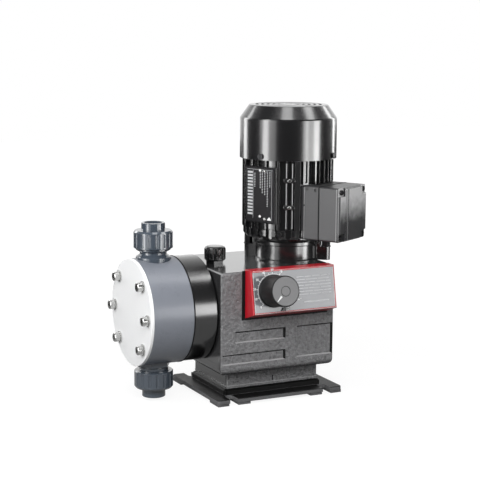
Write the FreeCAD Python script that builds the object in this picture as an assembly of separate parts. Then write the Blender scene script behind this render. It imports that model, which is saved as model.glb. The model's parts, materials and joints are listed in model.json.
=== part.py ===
import FreeCAD, Part
import math
import os

# A diaphragm metering pump. Millimetres; X along the pump axis with the dosing head at -X,
# the control panel faces -Y, Z is up, and the foot pads stand on z = 0.

V = FreeCAD.Vector
X_AXIS = V(1, 0, 0)
Y_AXIS = V(0, 1, 0)
Z_AXIS = V(0, 0, 1)
ORIGIN = V(0, 0, 0)

# Clearances between pieces
SEAT_GAP = 0.02          # pieces fixed to each other
RUN_GAP = 0.05           # radial, running fits
BOLT_GAP = 0.5           # radial, bolts in their holes
TOUCH_GAP = 0.3          # soft or sprung pieces that touch

# Base plate
BASE_LENGTH = 196.6
BASE_WIDTH = 162.0
BASE_PLATE_T = 5.5
FOOT_H = 3.7
BASE_CORNER_R = 5.0
SLOT_SPACING = 147.0     # between the two columns of slots
SLOT_WIDTH = 12.4
SLOT_DEPTH = 22.0        # from the plate's edge to the slot's end
PLATFORM_H = 8.3
PLATFORM_MARGIN = 4.0    # platform beyond the plinth

# Gear housing
HOUSING_X0 = -94.0
HOUSING_X1 = 83.4
HOUSING_HALF_Y = 79.6
HOUSING_Z0 = 48.9
HOUSING_Z1 = 187.5
HOUSING_WALL = 8.0
HOUSING_EDGE_R = 3.0
HOUSING_FOOT_R = 8.0
PLINTH_X0 = -73.5
PLINTH_X1 = 71.5
PLINTH_HALF_Y = 54.5
RECESS_D = 2.0
RECESSES = (             # x0, x1, z0, z1 on the panel side
    (-72.5, 6.3, 88.0, 104.2),
    (-91.5, 6.5, 58.0, 72.5),
    (24.0, 82.0, 59.0, 104.2),
)
SEAT_BOSS_H = 1.7        # machined seat of the head flange
SEAT_BOSS_R = 58.0
COVER_T = 5.0
COVER_MARGIN = 12.0      # rear cover inside the housing's outline
COVER_LIP = 10.0         # cover over the opening's edge
COVER_SCREW_R = 2.5

# Pump head, all round the pump axis
PUMP_Z = 127.1
FLANGE_R = 74.2
FLANGE_L = 34.9
HEAD_R = 75.0
HEAD_L = 59.5
END_PLATE_T = 4.0
BOLT_PCD = 124.0
BOLT_ANGLES = (0, 45, 135, 180, 225, 315)
BOLT_R = 4.0
BOLT_HEAD_R = 6.5
BOLT_HEAD_H = 8.0
WASHER_R = 8.0
WASHER_T = 1.6
THREAD_BOSS_R = 9.0
THREAD_BOSS_L = 12.0
CHAMBER_R = 40.0
CHAMBER_D = 7.0
CHANNEL_R = 7.0
DIAPHRAGM_R = 55.0
DIAPHRAGM_T = 3.0
CORE_R = 22.0
CORE_T = 6.0
BUSH_R = 15.0
BUSH_L = 11.0
SEAL_R = 18.0
SEAL_W = 6.0

# Valves
VALVE_X = -160.9
NUT_R = 27.3
NUT_H = 24.8
DISCHARGE_NUT = 89.2     # pump axis to the near end of each union nut
SUCTION_NUT = 84.7
DISCHARGE_TIP = 124.6    # pump axis to the end of each insert
SUCTION_TIP = 122.4
SPOT_R = 24.8            # flat spot on the head under each valve, and its distance from the pump axis
SPOT_U = 70.8
VALVE_BASE_R = 24.2
VALVE_BASE_H = 7.6
VALVE_NECK_R = 18.6
VALVE_CONE_H = 3.4
VALVE_RING_R = 24.2
VALVE_RING_T = 1.6
VALVE_HEX_H = 7.4
VALVE_DISC_R = 20.5
VALVE_DISC_T = 4.6
VALVE_THREAD_R = 22.0
VALVE_SPIGOT_R = 14.9
VALVE_DEEP_U = 54.0      # pump axis to the inner end of each valve body
VALVE_BORE_R = 9.0
VALVE_HEX_AF = 42.0
INSERT_R = 16.4
INSERT_FLANGE_R = 21.5
INSERT_FLANGE_T = 5.0
SOCKET_R = 12.5
SOCKET_D = 18.0
BALL_R = 7.0
BALL_LIFT = 3.0
SEAT_BORE_R = 5.5
SEAT_H = 8.0
SEAL_IN_R = 14.0
SEAL_OUT_R = 17.5
SEAL_D = 2.2
NUT_LIP = 4.0
NUT_RIBS = 16

# Drive
ROD_R = 11.0
STROKE = 3.0
ECCENTRICITY = 1.5
WHEEL_X = 9.0
GEAR_MODULE = 2.0
WHEEL_TEETH = 30
WHEEL_W = 14.0
WORM_PITCH_R = 10.0
WORM_L = 44.0
GEAR_BACKLASH = 0.7
ECCENTRIC_R = 13.0
WHEEL_SEAT_R = 15.0
ARM_Y0 = 9.0
ARM_Y1 = 18.0
ARM_HALF_H = 12.0
WINDOW_HALF_H = 15.6
COLLAR_X = -42.0
COLLAR_T = 6.0
COLLAR_R = 23.0
SPRING_R = 20.5
SPRING_WIRE_R = 1.8
SPRING_TURNS = 6
JOURNAL_R = 6.0
BEARING_R = 14.0
BEARING_W = 8.0
WHEEL_BEARING_Y = 30.0
LOWER_BEARING_DROP = 43.1
LANTERN_BEARING_DROP = 15.0
BEARING_BOSS_R = 22.0

# Control panel
PANEL_X0 = -58.0
PANEL_X1 = 72.6
PANEL_Z0 = 122.0
PANEL_Z1 = 191.0
PANEL_TOP_Y = -97.0
PANEL_FOOT_Y = -107.5
PANEL_FOOT_Z = 131.6
PANEL_WALL = 3.0
FACEPLATE_T = 1.6
FACEPLATE_SINK = 1.2
FACE_BORDER = 2.2
KNOB_X = -25.3
KNOB_Z = 162.0
KNOB_R = 21.5
KNOB_L = 36.8
KNOB_SKIRT_R = 22.6
KNOB_SKIRT_L = 3.0
SPINDLE_R = 5.0
SPINDLE_BUSH_R = 9.0
CAM_MAX_R = 10.4
CAM_L = 8.0
CAM_INNER_Y = -22.0
PANEL_REACH = 60.0       # from the knob's foot through the panel and the wall
PANEL_HOLE_GAP = 1.0

# Oil filler
FILLER_X = -65.0
FILLER_Y = 3.0
FILLER_R = 15.3
FILLER_H = 20.5
FILLER_NECK_H = 4.2
DRAIN_Y = 30.0
DRAIN_R = 9.0

# Motor, round the vertical motor axis
MOTOR_X = 49.0
LANTERN_R = 45.5
LANTERN_H = 28.5
HUB_R = 20.0
LUG_ANGLES = (-40.0, 140.0)
LUG_REACH = 12.0
LUG_W = 12.0
SHIELD_SCREW_R = 2.0
SHIELD_HEAD_R = 3.6
POST_H = 19.0
NUT_ROOM = 7.8            # from a lug's stud to the web behind its nut
STUD_R = 3.0
SHIELD_H = 20.0
FRAME_H = 98.0
FRAME_R = 57.0
FIN_H = 8.5
FIN_T = 2.4
FRAME_WALL = 5.0
STATOR_DEPTH = 26.5
ROTOR_RING_W = 8.0
ROTOR_RING_H = 5.0
ROTOR_RING_GAP = 4.5
AIR_GAP = 0.5
STACK_H = 62.0
STACK_LIFT = 17.0
WINDING_H = 11.0
SHAFT_R = 8.0
ROTOR_SEAT_R = 11.0
FAN_SHIELD_H = 12.0
COVER_GAP = 4.0            # fins to the cover's outer face
COVER_WALL = 1.5
COVER_H = 57.3
COVER_CONE_H = 18.2
COVER_CONE_IN = 13.0
COVER_SCREW_ANGLES = (-52.0, 38.0, 128.0, -151.0)
GRILLE_RINGS = (14.0, 22.0, 30.0, 38.0, 46.0)
GRILLE_SLOT_W = 3.4
FIN_ANGLES = (-81.0, -74.6, -65.9, -56.8, -48.0, -38.0, -28.0, -18.0, -8.0, 2.0, 12.0, 22.0, 32.0,
              42.0, 52.0, 62.0, 72.0, 82.0, 92.0, 102.0, 112.0, 122.0, 132.0, 142.0, 152.0, 162.0,
              172.0)
SLOT_RIB_ANGLE = -95.0
RIB_SLOT_R = 2.2
WIDE_RIBS = (            # angle, width, height
    (-174.3, 2.4, 4.0), (-161.4, 2.4, 4.0), (-148.6, 2.4, 4.0), (-135.7, 2.4, 4.0), (-129.6, 2.4, 6.5),
    (-119.0, 2.6, 7.0), (-112.5, 2.6, 7.0), (-105.5, 8.5, 8.0), (SLOT_RIB_ANGLE, 8.0, 8.5))
SHIELD_POCKETS = 28
SHIELD_FIRST_POCKET = -155.0
SHIELD_POCKET_W = 9.0
SHIELD_POCKET_Z = 6.5
SHIELD_RIM = 7.0
SHIELD_SCREW_POCKETS = (0, 2, 11, 18)
PLATE_ANGLE = -156.5
PLATE_PAD_H = 4.5
PLATE_MARGIN = 2.0
PLATE_W = 50.0
PLATE_Z0 = 247.0
PLATE_H = 76.0
RIVET_T = 9.0
FAN_BLADES = 8
FAN_LIFT = 6.0
FAN_GAP = 13.5
FAN_HUB_R = 12.0
FAN_HUB_H = 16.0
FAN_DISC_T = 2.0
FAN_BLADE_H = 22.0
FAN_TRIM = 24.0

# Terminal box, turned about the motor axis
BOX_ANGLE = -60.1
BOX_SIDE = 76.0
BOX_WRAP = 10.3          # how far the box's saddle reaches back round the frame
BOX_FLOOR_T = 6.0
BOX_ROOM_L = 12.3
LID_L = 34.9
BOX_Z0 = 223.6
BOX_WALL = 2.5
BOX_SEAT_GAP = 1.5
BOX_HOLE_R = 2.0
BOX_WIRE_R = 9.0
LID_STEP = 3.4
LID_SCREW_R = 1.6
LID_HEAD_R = 3.6
LID_POST_R = 5.4
LID_MARGIN = 0.3
LID_CORNER_W = 15.0
LID_CORNER_H = 12.0
LID_CHAMFER = 2.2
LID_RAISE = 0.9
LID_PANEL_V = (-14.0, 27.0)
LID_RIDGE_V = -20.0
GLAND_R = 8.5
GLAND_NECK_R = 5.4
GLAND_L = 16.0
BLOCK_W = 44.0
BLOCK_H = 18.0
BLOCK_T = 8.0
BLOCK_STUD_R = 2.0


def cyl(r, z0, z1, x=0.0, y=0.0):
    return Part.makeCylinder(r, z1 - z0, V(x, y, z0), Z_AXIS)


def cyl_x(r, x0, x1, y=0.0, z=PUMP_Z):
    return Part.makeCylinder(r, x1 - x0, V(x0, y, z), X_AXIS)


def cyl_y(r, y0, y1, x, z):
    return Part.makeCylinder(r, y1 - y0, V(x, y0, z), Y_AXIS)


def box(x0, x1, y0, y1, z0, z1):
    return Part.makeBox(x1 - x0, y1 - y0, z1 - z0, V(x0, y0, z0))


def fuse(shapes):
    first, *others = shapes
    return first.fuse(others).removeSplitter() if others else first


def cut(shape, tools):
    return shape.cut(list(tools))


def rod(r, base, direction, length):
    return Part.makeCylinder(r, length, base, direction)


def revolved(points, axis_point=ORIGIN, axis=Z_AXIS):
    # A solid turned from a closed outline of points
    outline = [V(*p) for p in points]
    face = Part.Face(Part.makePolygon(outline + [outline[0]]))
    return face.revolve(axis_point, axis, 360)


def turned_z(profile, x=0.0, y=0.0):
    # profile: (radius, z) pairs, turned about a vertical axis
    solid = revolved([(r, 0, z) for r, z in profile])
    return solid.translated(V(x, y, 0))


def turned_x(profile, z=PUMP_Z):
    # profile: (x, radius) pairs, turned about the pump axis
    return revolved([(x, 0, z + r) for x, r in profile], V(0, 0, z), X_AXIS)


def prism(points, direction):
    outline = [V(*p) for p in points]
    return Part.Face(Part.makePolygon(outline + [outline[0]])).extrude(direction)


def hexagon(across, z0, z1, x=0.0, y=0.0):
    r = across / math.sqrt(3)
    points = [(x + r * math.cos(a), y + r * math.sin(a), z0)
              for a in (math.radians(60 * i) for i in range(6))]
    return prism(points, V(0, 0, z1 - z0))


def vertical_edges(shape):
    return [e for e in shape.Edges if abs(e.tangentAt(e.FirstParameter).z) > 0.999]


def edges_at(shape, z):
    return [e for e in shape.Edges
            if abs(e.BoundBox.ZMin - z) < 1e-3 and abs(e.BoundBox.ZMax - z) < 1e-3]


def polar(r, deg, z=0.0, x=0.0, y=0.0):
    return V(x + r * math.cos(math.radians(deg)), y + r * math.sin(math.radians(deg)), z)


def about_motor(shape, deg):
    # Turns a shape built round the origin and sets it on the motor axis
    turned = shape.copy()
    turned.rotate(ORIGIN, Z_AXIS, deg)
    turned.translate(V(MOTOR_X, 0, 0))
    return turned


def spun(shape, deg):
    # Turns a shape built round the origin and leaves it there
    turned = shape.copy()
    turned.rotate(ORIGIN, Z_AXIS, deg)
    return turned


def group(shapes):
    return Part.makeCompound(shapes)


# Levels that follow from the stack of parts
PLATE_Z1 = FOOT_H + BASE_PLATE_T
PLINTH_Z0 = PLATE_Z1 + PLATFORM_H
SHIELD_Z0 = HOUSING_Z1 + LANTERN_H
FRAME_Z0 = SHIELD_Z0 + SHIELD_H
FRAME_Z1 = FRAME_Z0 + FRAME_H
FAN_SHIELD_Z1 = FRAME_Z1 + FAN_SHIELD_H
COVER_Z0 = FRAME_Z1 + 0.7
COVER_CONE_Z = COVER_Z0 + COVER_H
COVER_Z1 = COVER_CONE_Z + COVER_CONE_H
COVER_SCREW_Z = FRAME_Z1 + 6.0
SHIELD_SCREW_Z = FRAME_Z0 - 6.0
STUD_Z1 = BOX_Z0 - BOX_SEAT_GAP - 1.0
BALL_RISE = math.sqrt(BALL_R ** 2 - SEAT_BORE_R ** 2) + RUN_GAP
FLANGE_X1 = HOUSING_X0 - SEAT_BOSS_H
FLANGE_X0 = FLANGE_X1 - FLANGE_L
HEAD_X0 = FLANGE_X0 - HEAD_L
BUSH_X0 = FLANGE_X1 - SEAL_W - BUSH_L
END_X0 = HEAD_X0 - END_PLATE_T
WHEEL_PITCH_R = GEAR_MODULE * WHEEL_TEETH / 2
WORM_LEAD = math.pi * GEAR_MODULE
LEAD_ANGLE = math.degrees(math.atan(GEAR_MODULE / 2 / WORM_PITCH_R))
LOWER_BEARING_Z = PUMP_Z - LOWER_BEARING_DROP
LANTERN_BEARING_Z = HOUSING_Z1 - LANTERN_BEARING_DROP
SHIELD_BEARING_Z = SHIELD_Z0 + 6.0
FAN_BEARING_Z = FRAME_Z1 + 2.0
LUG_R = LANTERN_R + LUG_REACH
FIN_R = FRAME_R + FIN_H
SHIELD_R = FRAME_R + 1.5
PLATE_PAD_R = FRAME_R + PLATE_PAD_H
STATOR_BORE_R = FRAME_R - STATOR_DEPTH
COVER_R = FIN_R + COVER_GAP
COVER_TOP_R = COVER_R - COVER_CONE_IN
FAN_R = COVER_R - FAN_GAP
BOX_BACK = FRAME_R - BOX_WRAP
BOX_FLOOR = FRAME_R + BOX_FLOOR_T
BOX_SEAM = BOX_FLOOR + BOX_ROOM_L
BOX_FACE = BOX_SEAM + LID_L
BOX_Z1 = BOX_Z0 + BOX_SIDE
BOX_MID_Z = BOX_Z0 + BOX_SIDE / 2
PANEL_TILT = math.atan2(PANEL_TOP_Y - PANEL_FOOT_Y, PANEL_Z1 - PANEL_FOOT_Z)
FACE_OUT = V(0, -math.cos(PANEL_TILT), math.sin(PANEL_TILT))
FACE_UP = V(0, math.sin(PANEL_TILT), math.cos(PANEL_TILT))
KNOB_Y = PANEL_TOP_Y - (PANEL_Z1 - KNOB_Z) * math.tan(PANEL_TILT)
KNOB_BASE = V(KNOB_X, KNOB_Y, KNOB_Z)


def bolt_places(angles=BOLT_ANGLES, pcd=BOLT_PCD):
    return [(pcd / 2 * math.cos(math.radians(a)), PUMP_Z + pcd / 2 * math.sin(math.radians(a)))
            for a in angles]


def bolt_holes(x0, x1, r):
    return [cyl_x(r, x0, x1, y, z) for y, z in bolt_places()]


# Base and housing

def base_plate():
    half_x = BASE_LENGTH / 2
    half_y = BASE_WIDTH / 2
    plate = box(-half_x, half_x, -half_y, half_y, FOOT_H, PLATE_Z1)
    plate = plate.makeFillet(BASE_CORNER_R, vertical_edges(plate))
    plate = plate.makeChamfer(0.8, edges_at(plate, PLATE_Z1))
    platform = box(PLINTH_X0 - PLATFORM_MARGIN, PLINTH_X1 + PLATFORM_MARGIN,
                   -PLINTH_HALF_Y - PLATFORM_MARGIN, PLINTH_HALF_Y + PLATFORM_MARGIN,
                   PLATE_Z1 - 1, PLINTH_Z0)
    platform = platform.makeFillet(BASE_CORNER_R, vertical_edges(platform))
    platform = platform.makeChamfer(PLATFORM_MARGIN * 0.6, edges_at(platform, PLINTH_Z0))
    slot_x = SLOT_SPACING / 2
    outer_w = half_x - slot_x - SLOT_WIDTH / 2
    pads = []
    slots = []
    for sx in (-1, 1):
        for sy in (-1, 1):
            inner = sx * (slot_x - SLOT_WIDTH / 2 - 1.0)
            outer = sx * (slot_x + SLOT_WIDTH / 2 + 1.0)
            for a, length in ((inner, -sx * outer_w), (outer, sx * (outer_w - 2.0))):
                x0, x1 = sorted((a, a + length))
                y0, y1 = sorted((sy * (half_y - 1.0), sy * (half_y - SLOT_DEPTH - 8.0)))
                pads.append(box(x0, x1, y0, y1, 0, FOOT_H + 0.5))
            end_y = half_y - SLOT_DEPTH + SLOT_WIDTH / 2
            y0, y1 = sorted((sy * end_y, sy * (half_y + 1.0)))
            slots.append(cyl(SLOT_WIDTH / 2, -1, PLATE_Z1 + 1, sx * slot_x, sy * end_y))
            slots.append(box(sx * slot_x - SLOT_WIDTH / 2, sx * slot_x + SLOT_WIDTH / 2,
                             y0, y1, -1, PLATE_Z1 + 1))
    return cut(fuse([plate, platform] + pads), slots)


def rounded_tub(x0, x1, half_y, z0, z1, r):
    # A box with rounded lower edges on all four sides
    def end(w0, w1, span, along_x):
        block = box(0, 1, 0, 1, 0, 1)
        if along_x:
            block = box(span[0], span[1], w0, w1, z0, z1)
            low = [e for e in edges_at(block, z0) if abs(e.tangentAt(0).x) > 0.9]
        else:
            block = box(w0, w1, span[0], span[1], z0, z1)
            low = [e for e in edges_at(block, z0) if abs(e.tangentAt(0).y) > 0.9]
        return block.makeFillet(r, low)
    return end(-half_y, half_y, (x0, x1), True).common(end(x0, x1, (-half_y, half_y), False))


def gear_housing():
    tub = rounded_tub(HOUSING_X0, HOUSING_X1, HOUSING_HALF_Y, HOUSING_Z0, HOUSING_Z1, HOUSING_FOOT_R)
    tub = tub.makeFillet(HOUSING_EDGE_R, vertical_edges(tub) + edges_at(tub, HOUSING_Z1))
    plinth = box(PLINTH_X0, PLINTH_X1, -PLINTH_HALF_Y, PLINTH_HALF_Y,
                 PLINTH_Z0, HOUSING_Z0 + HOUSING_WALL / 2)
    plinth = plinth.makeFillet(HOUSING_EDGE_R, vertical_edges(plinth))
    seat = cyl_x(SEAT_BOSS_R, FLANGE_X1, HOUSING_X0 + 1)
    shell = fuse([tub, plinth, seat])
    x0, x1 = HOUSING_X0 + HOUSING_WALL, HOUSING_X1 - HOUSING_WALL
    y1 = HOUSING_HALF_Y - HOUSING_WALL
    z0, z1 = HOUSING_Z0 + HOUSING_WALL, HOUSING_Z1 - HOUSING_WALL
    room = box(x0, x1, -y1, y1, z0, z1)
    under = box(PLINTH_X0 + HOUSING_WALL, PLINTH_X1 - HOUSING_WALL,
                -PLINTH_HALF_Y + HOUSING_WALL, PLINTH_HALF_Y - HOUSING_WALL,
                PLINTH_Z0 - 1, HOUSING_Z0)
    shell = cut(shell, [room, under])
    bosses = [cyl_x(THREAD_BOSS_R, x0 - 1, x0 + THREAD_BOSS_L, y, z) for y, z in bolt_places()]
    bosses.append(cyl(BEARING_BOSS_R, z0 - 1, LOWER_BEARING_Z + BEARING_W, MOTOR_X))
    bosses.append(cyl_y(BEARING_BOSS_R, -y1 - 1, -WHEEL_BEARING_Y + BEARING_W / 2, WHEEL_X, PUMP_Z))
    shell = fuse([shell] + bosses)
    tools = [cyl_x(BOLT_R + RUN_GAP, HOUSING_X0 - 5, x0 + THREAD_BOSS_L + 1, y, z)
             for y, z in bolt_places()]
    tools.append(cyl(BEARING_R + SEAT_GAP, LOWER_BEARING_Z, LOWER_BEARING_Z + BEARING_W + 1, MOTOR_X))
    tools.append(cyl_y(BEARING_R + SEAT_GAP, -WHEEL_BEARING_Y - BEARING_W / 2,
                       -WHEEL_BEARING_Y + BEARING_W, WHEEL_X, PUMP_Z))
    tools.append(cyl_x(SPRING_R + SPRING_WIRE_R + 1.5, HOUSING_X0 - 5, x0 + 1))
    tools.append(cyl(HUB_R + SEAT_GAP, z1 - 1, HOUSING_Z1 + 1, MOTOR_X))
    tools.append(cyl(FILLER_R * 0.6 + SEAT_GAP, z1 - 1, HOUSING_Z1 + 1, FILLER_X, FILLER_Y))
    tools.append(cyl_x(DRAIN_R * 0.7 + SEAT_GAP, x1 - 1, HOUSING_X1 + 1, DRAIN_Y, z0 + DRAIN_R))
    tools.append(rod(SPINDLE_BUSH_R + SEAT_GAP, KNOB_BASE, FACE_OUT * -1, PANEL_REACH))
    for rx0, rx1, rz0, rz1 in RECESSES:
        pocket = box(rx0, rx1, -HOUSING_HALF_Y - 1, -HOUSING_HALF_Y + RECESS_D, rz0, rz1)
        side = [e for e in pocket.Edges if abs(e.tangentAt(0).y) > 0.9]
        tools.append(pocket.makeFillet(1.5, side))
    tools += rear_opening()
    tools += [cyl_y(COVER_SCREW_R - 0.4, HOUSING_HALF_Y - COVER_T - 9, HOUSING_HALF_Y, x, z)
              for x, z in cover_screw_places()]
    return cut(shell, tools)


# Rear cover on the hidden side

def cover_outline(margin, y0, y1):
    return box(HOUSING_X0 + margin, HOUSING_X1 - margin, y0, y1,
               HOUSING_Z0 + margin, HOUSING_Z1 - margin)


def rear_opening():
    y1 = HOUSING_HALF_Y
    return [cover_outline(COVER_MARGIN, y1 - COVER_T, y1 + 1),
            cover_outline(COVER_MARGIN + COVER_LIP, y1 - HOUSING_WALL - 1, y1)]


def cover_screw_places():
    inset = COVER_MARGIN + COVER_LIP / 2
    xs = (HOUSING_X0 + inset, (HOUSING_X0 + HOUSING_X1) / 2, HOUSING_X1 - inset)
    return [(x, z) for x in xs for z in (HOUSING_Z0 + inset, HOUSING_Z1 - inset)]


def rear_cover():
    y1 = HOUSING_HALF_Y
    plate = cover_outline(COVER_MARGIN + SEAT_GAP, y1 - COVER_T + SEAT_GAP, y1)
    boss = cyl_y(BEARING_BOSS_R, WHEEL_BEARING_Y - BEARING_W / 2, y1 - COVER_T + 1, WHEEL_X, PUMP_Z)
    tools = [cyl_y(BEARING_R + SEAT_GAP, WHEEL_BEARING_Y - BEARING_W, WHEEL_BEARING_Y + BEARING_W / 2,
                   WHEEL_X, PUMP_Z)]
    tools += [cyl_y(COVER_SCREW_R + BOLT_GAP / 2, y1 - COVER_T - 1, y1 + 1, x, z)
              for x, z in cover_screw_places()]
    return cut(fuse([plate, boss]), tools)


def rear_screws():
    screws = []
    y1 = HOUSING_HALF_Y
    for x, z in cover_screw_places():
        shank = cyl_y(COVER_SCREW_R - 0.4 - SEAT_GAP, y1 - COVER_T - 8, y1 + 1, x, z)
        head = cyl_y(COVER_SCREW_R * 1.8, y1 + SEAT_GAP, y1 + COVER_SCREW_R * 1.6, x, z)
        socket = cyl_y(COVER_SCREW_R * 0.8, y1 + 1.5, y1 + 10, x, z)
        screws.append(shank.fuse(head).cut(socket))
    return group(screws)


def drain_plug():
    z = HOUSING_Z0 + HOUSING_WALL + DRAIN_R
    body = cyl_x(DRAIN_R * 0.7, HOUSING_X1 - HOUSING_WALL, HOUSING_X1 + 1, DRAIN_Y, z)
    rim = cyl_x(DRAIN_R, HOUSING_X1 + SEAT_GAP, HOUSING_X1 + 3, DRAIN_Y, z)
    across = DRAIN_R * 1.3
    head = hexagon(across, 0, 5)
    head.rotate(ORIGIN, Y_AXIS, 90)
    head.translate(V(HOUSING_X1 + 2, DRAIN_Y, z))
    return fuse([body, rim, head])


def filler_cap():
    z = HOUSING_Z1
    neck = cyl(FILLER_R * 0.6, z - HOUSING_WALL, z + 2, FILLER_X, FILLER_Y)
    foot = hexagon(FILLER_R * 1.55, z + SEAT_GAP, z + FILLER_NECK_H + 1, FILLER_X, FILLER_Y)
    top = z + FILLER_NECK_H + FILLER_H
    cap = turned_z([(0, z + FILLER_NECK_H), (FILLER_R - 1.5, z + FILLER_NECK_H),
                    (FILLER_R, z + FILLER_NECK_H + 1.5), (FILLER_R, top - 4.5),
                    (FILLER_R - 1.2, top - 1.8), (FILLER_R - 4.0, top - 0.4), (0, top)],
                   FILLER_X, FILLER_Y)
    count = 18
    grooves = []
    for i in range(count):
        at = polar(FILLER_R + 1.1, 360 * i / count, 0, FILLER_X, FILLER_Y)
        grooves.append(cyl(1.9, z + FILLER_NECK_H + 2.5, top + 1, at.x, at.y))
    return fuse([cut(cap, grooves), neck, foot])


# Dosing head

def head_flange():
    body = turned_x([(FLANGE_X0, 0), (FLANGE_X0, FLANGE_R - 1), (FLANGE_X0 + 1, FLANGE_R),
                     (FLANGE_X1 - 1.5, FLANGE_R), (FLANGE_X1, FLANGE_R - 1.5), (FLANGE_X1, 0)])
    tools = [cyl_x(DIAPHRAGM_R + SEAT_GAP, FLANGE_X0 - 1, FLANGE_X0 + DIAPHRAGM_T),
             cyl_x(CHAMBER_R + 1, FLANGE_X0, BUSH_X0),
             cyl_x(BUSH_R + SEAT_GAP, FLANGE_X0, FLANGE_X1 + 1),
             cyl_x(SEAL_R + SEAT_GAP, FLANGE_X1 - SEAL_W, FLANGE_X1 + 1)]
    return cut(body, tools + bolt_holes(FLANGE_X0 - 1, FLANGE_X1 + 1, BOLT_R + BOLT_GAP))


def dosing_head():
    x0, x1 = HEAD_X0, FLANGE_X0 - SEAT_GAP
    body = turned_x([(x0, 0), (x0, HEAD_R - 0.8), (x0 + 0.8, HEAD_R), (x1 - 0.8, HEAD_R),
                     (x1, HEAD_R - 0.8), (x1, 0)])
    reach = HEAD_R + 10
    tools = [cyl(CHANNEL_R, PUMP_Z - reach, PUMP_Z + reach, VALVE_X),
             cyl(VALVE_SPIGOT_R + SEAT_GAP, PUMP_Z + VALVE_DEEP_U, PUMP_Z + reach, VALVE_X),
             cyl(VALVE_SPIGOT_R + SEAT_GAP, PUMP_Z - reach, PUMP_Z - VALVE_DEEP_U, VALVE_X),
             cyl(SPOT_R, PUMP_Z + SPOT_U, PUMP_Z + reach, VALVE_X),
             cyl(SPOT_R, PUMP_Z - reach, PUMP_Z - SPOT_U, VALVE_X),
             cyl_x(CHANNEL_R, VALVE_X, x1),
             turned_x([(x1 - CHAMBER_D, 0), (x1 - CHAMBER_D, CHAMBER_R - 8), (x1 - 2, CHAMBER_R),
                       (x1 + 1, CHAMBER_R), (x1 + 1, 0)])]
    return cut(body, tools + bolt_holes(x0 - 1, x1 + 1, BOLT_R + BOLT_GAP))


def end_plate():
    x0, x1 = END_X0, HEAD_X0 - SEAT_GAP
    body = turned_x([(x0, 0), (x0, HEAD_R - 0.6), (x0 + 0.6, HEAD_R), (x1, HEAD_R), (x1, 0)])
    return cut(body, bolt_holes(x0 - 1, x1 + 1, BOLT_R + BOLT_GAP))


def head_bolts():
    bolts = []
    x_head = END_X0 - WASHER_T - SEAT_GAP
    tip = HOUSING_X0 + HOUSING_WALL + THREAD_BOSS_L - 2
    for y, z in bolt_places():
        head = cyl_x(BOLT_HEAD_R, x_head - BOLT_HEAD_H, x_head, y, z)
        rim = [e for e in head.Edges if abs(e.BoundBox.XMax - x_head + BOLT_HEAD_H) < 1e-3]
        head = head.makeChamfer(0.8, rim)
        shank = cyl_x(BOLT_R, x_head - 1, tip, y, z)
        socket = hexagon(6.0, 0, 5)
        socket.rotate(ORIGIN, Y_AXIS, 90)
        socket.translate(V(x_head - BOLT_HEAD_H - 0.5, y, z))
        bolts.append(head.fuse(shank).cut(socket))
    return group(bolts)


def head_washers():
    return group([cut(cyl_x(WASHER_R, END_X0 - WASHER_T, END_X0 - SEAT_GAP, y, z),
                      [cyl_x(BOLT_R + 0.2, END_X0 - WASHER_T - 1, END_X0 + 1, y, z)])
                  for y, z in bolt_places()])


def diaphragm():
    x = FLANGE_X0
    t = DIAPHRAGM_T
    hub = CORE_R + 2
    # Outer bead, one convolution and a plain centre bonded to the core
    back = x + t - SEAT_GAP
    rise = 2.5
    rim = CHAMBER_R
    return turned_x([(x, DIAPHRAGM_R), (x, rim - 1), (x + rise, rim - 5), (x + rise, hub + 6), (x, hub),
                     (x, 0), (back, 0), (back, hub - 1), (back + rise, hub + 5),
                     (back + rise, rim - 4), (back, rim), (back, DIAPHRAGM_R)])


def diaphragm_core():
    x = FLANGE_X0 + DIAPHRAGM_T
    disc = turned_x([(x, 0), (x, CORE_R), (x + CORE_T - 2, CORE_R - 1), (x + CORE_T, CORE_R - 6),
                     (x + CORE_T, 0)])
    return disc.fuse(cyl_x(ROD_R * 0.45, x + CORE_T - 1, x + CORE_T + 14))


def guide_bush():
    outer = cyl_x(BUSH_R, BUSH_X0, FLANGE_X1 - SEAL_W - SEAT_GAP)
    return outer.cut(cyl_x(ROD_R + RUN_GAP, BUSH_X0 - 1, FLANGE_X1))


def rod_seal():
    x0, x1 = FLANGE_X1 - SEAL_W, FLANGE_X1 - 0.2
    return turned_x([(x0, SEAL_R), (x0, ROD_R + 3), (x0 + 2, ROD_R + RUN_GAP),
                     (x0 + 4, ROD_R + RUN_GAP), (x0 + 4.5, ROD_R + 3.5), (x1, ROD_R + 3.5),
                     (x1, SEAL_R)])


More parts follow.
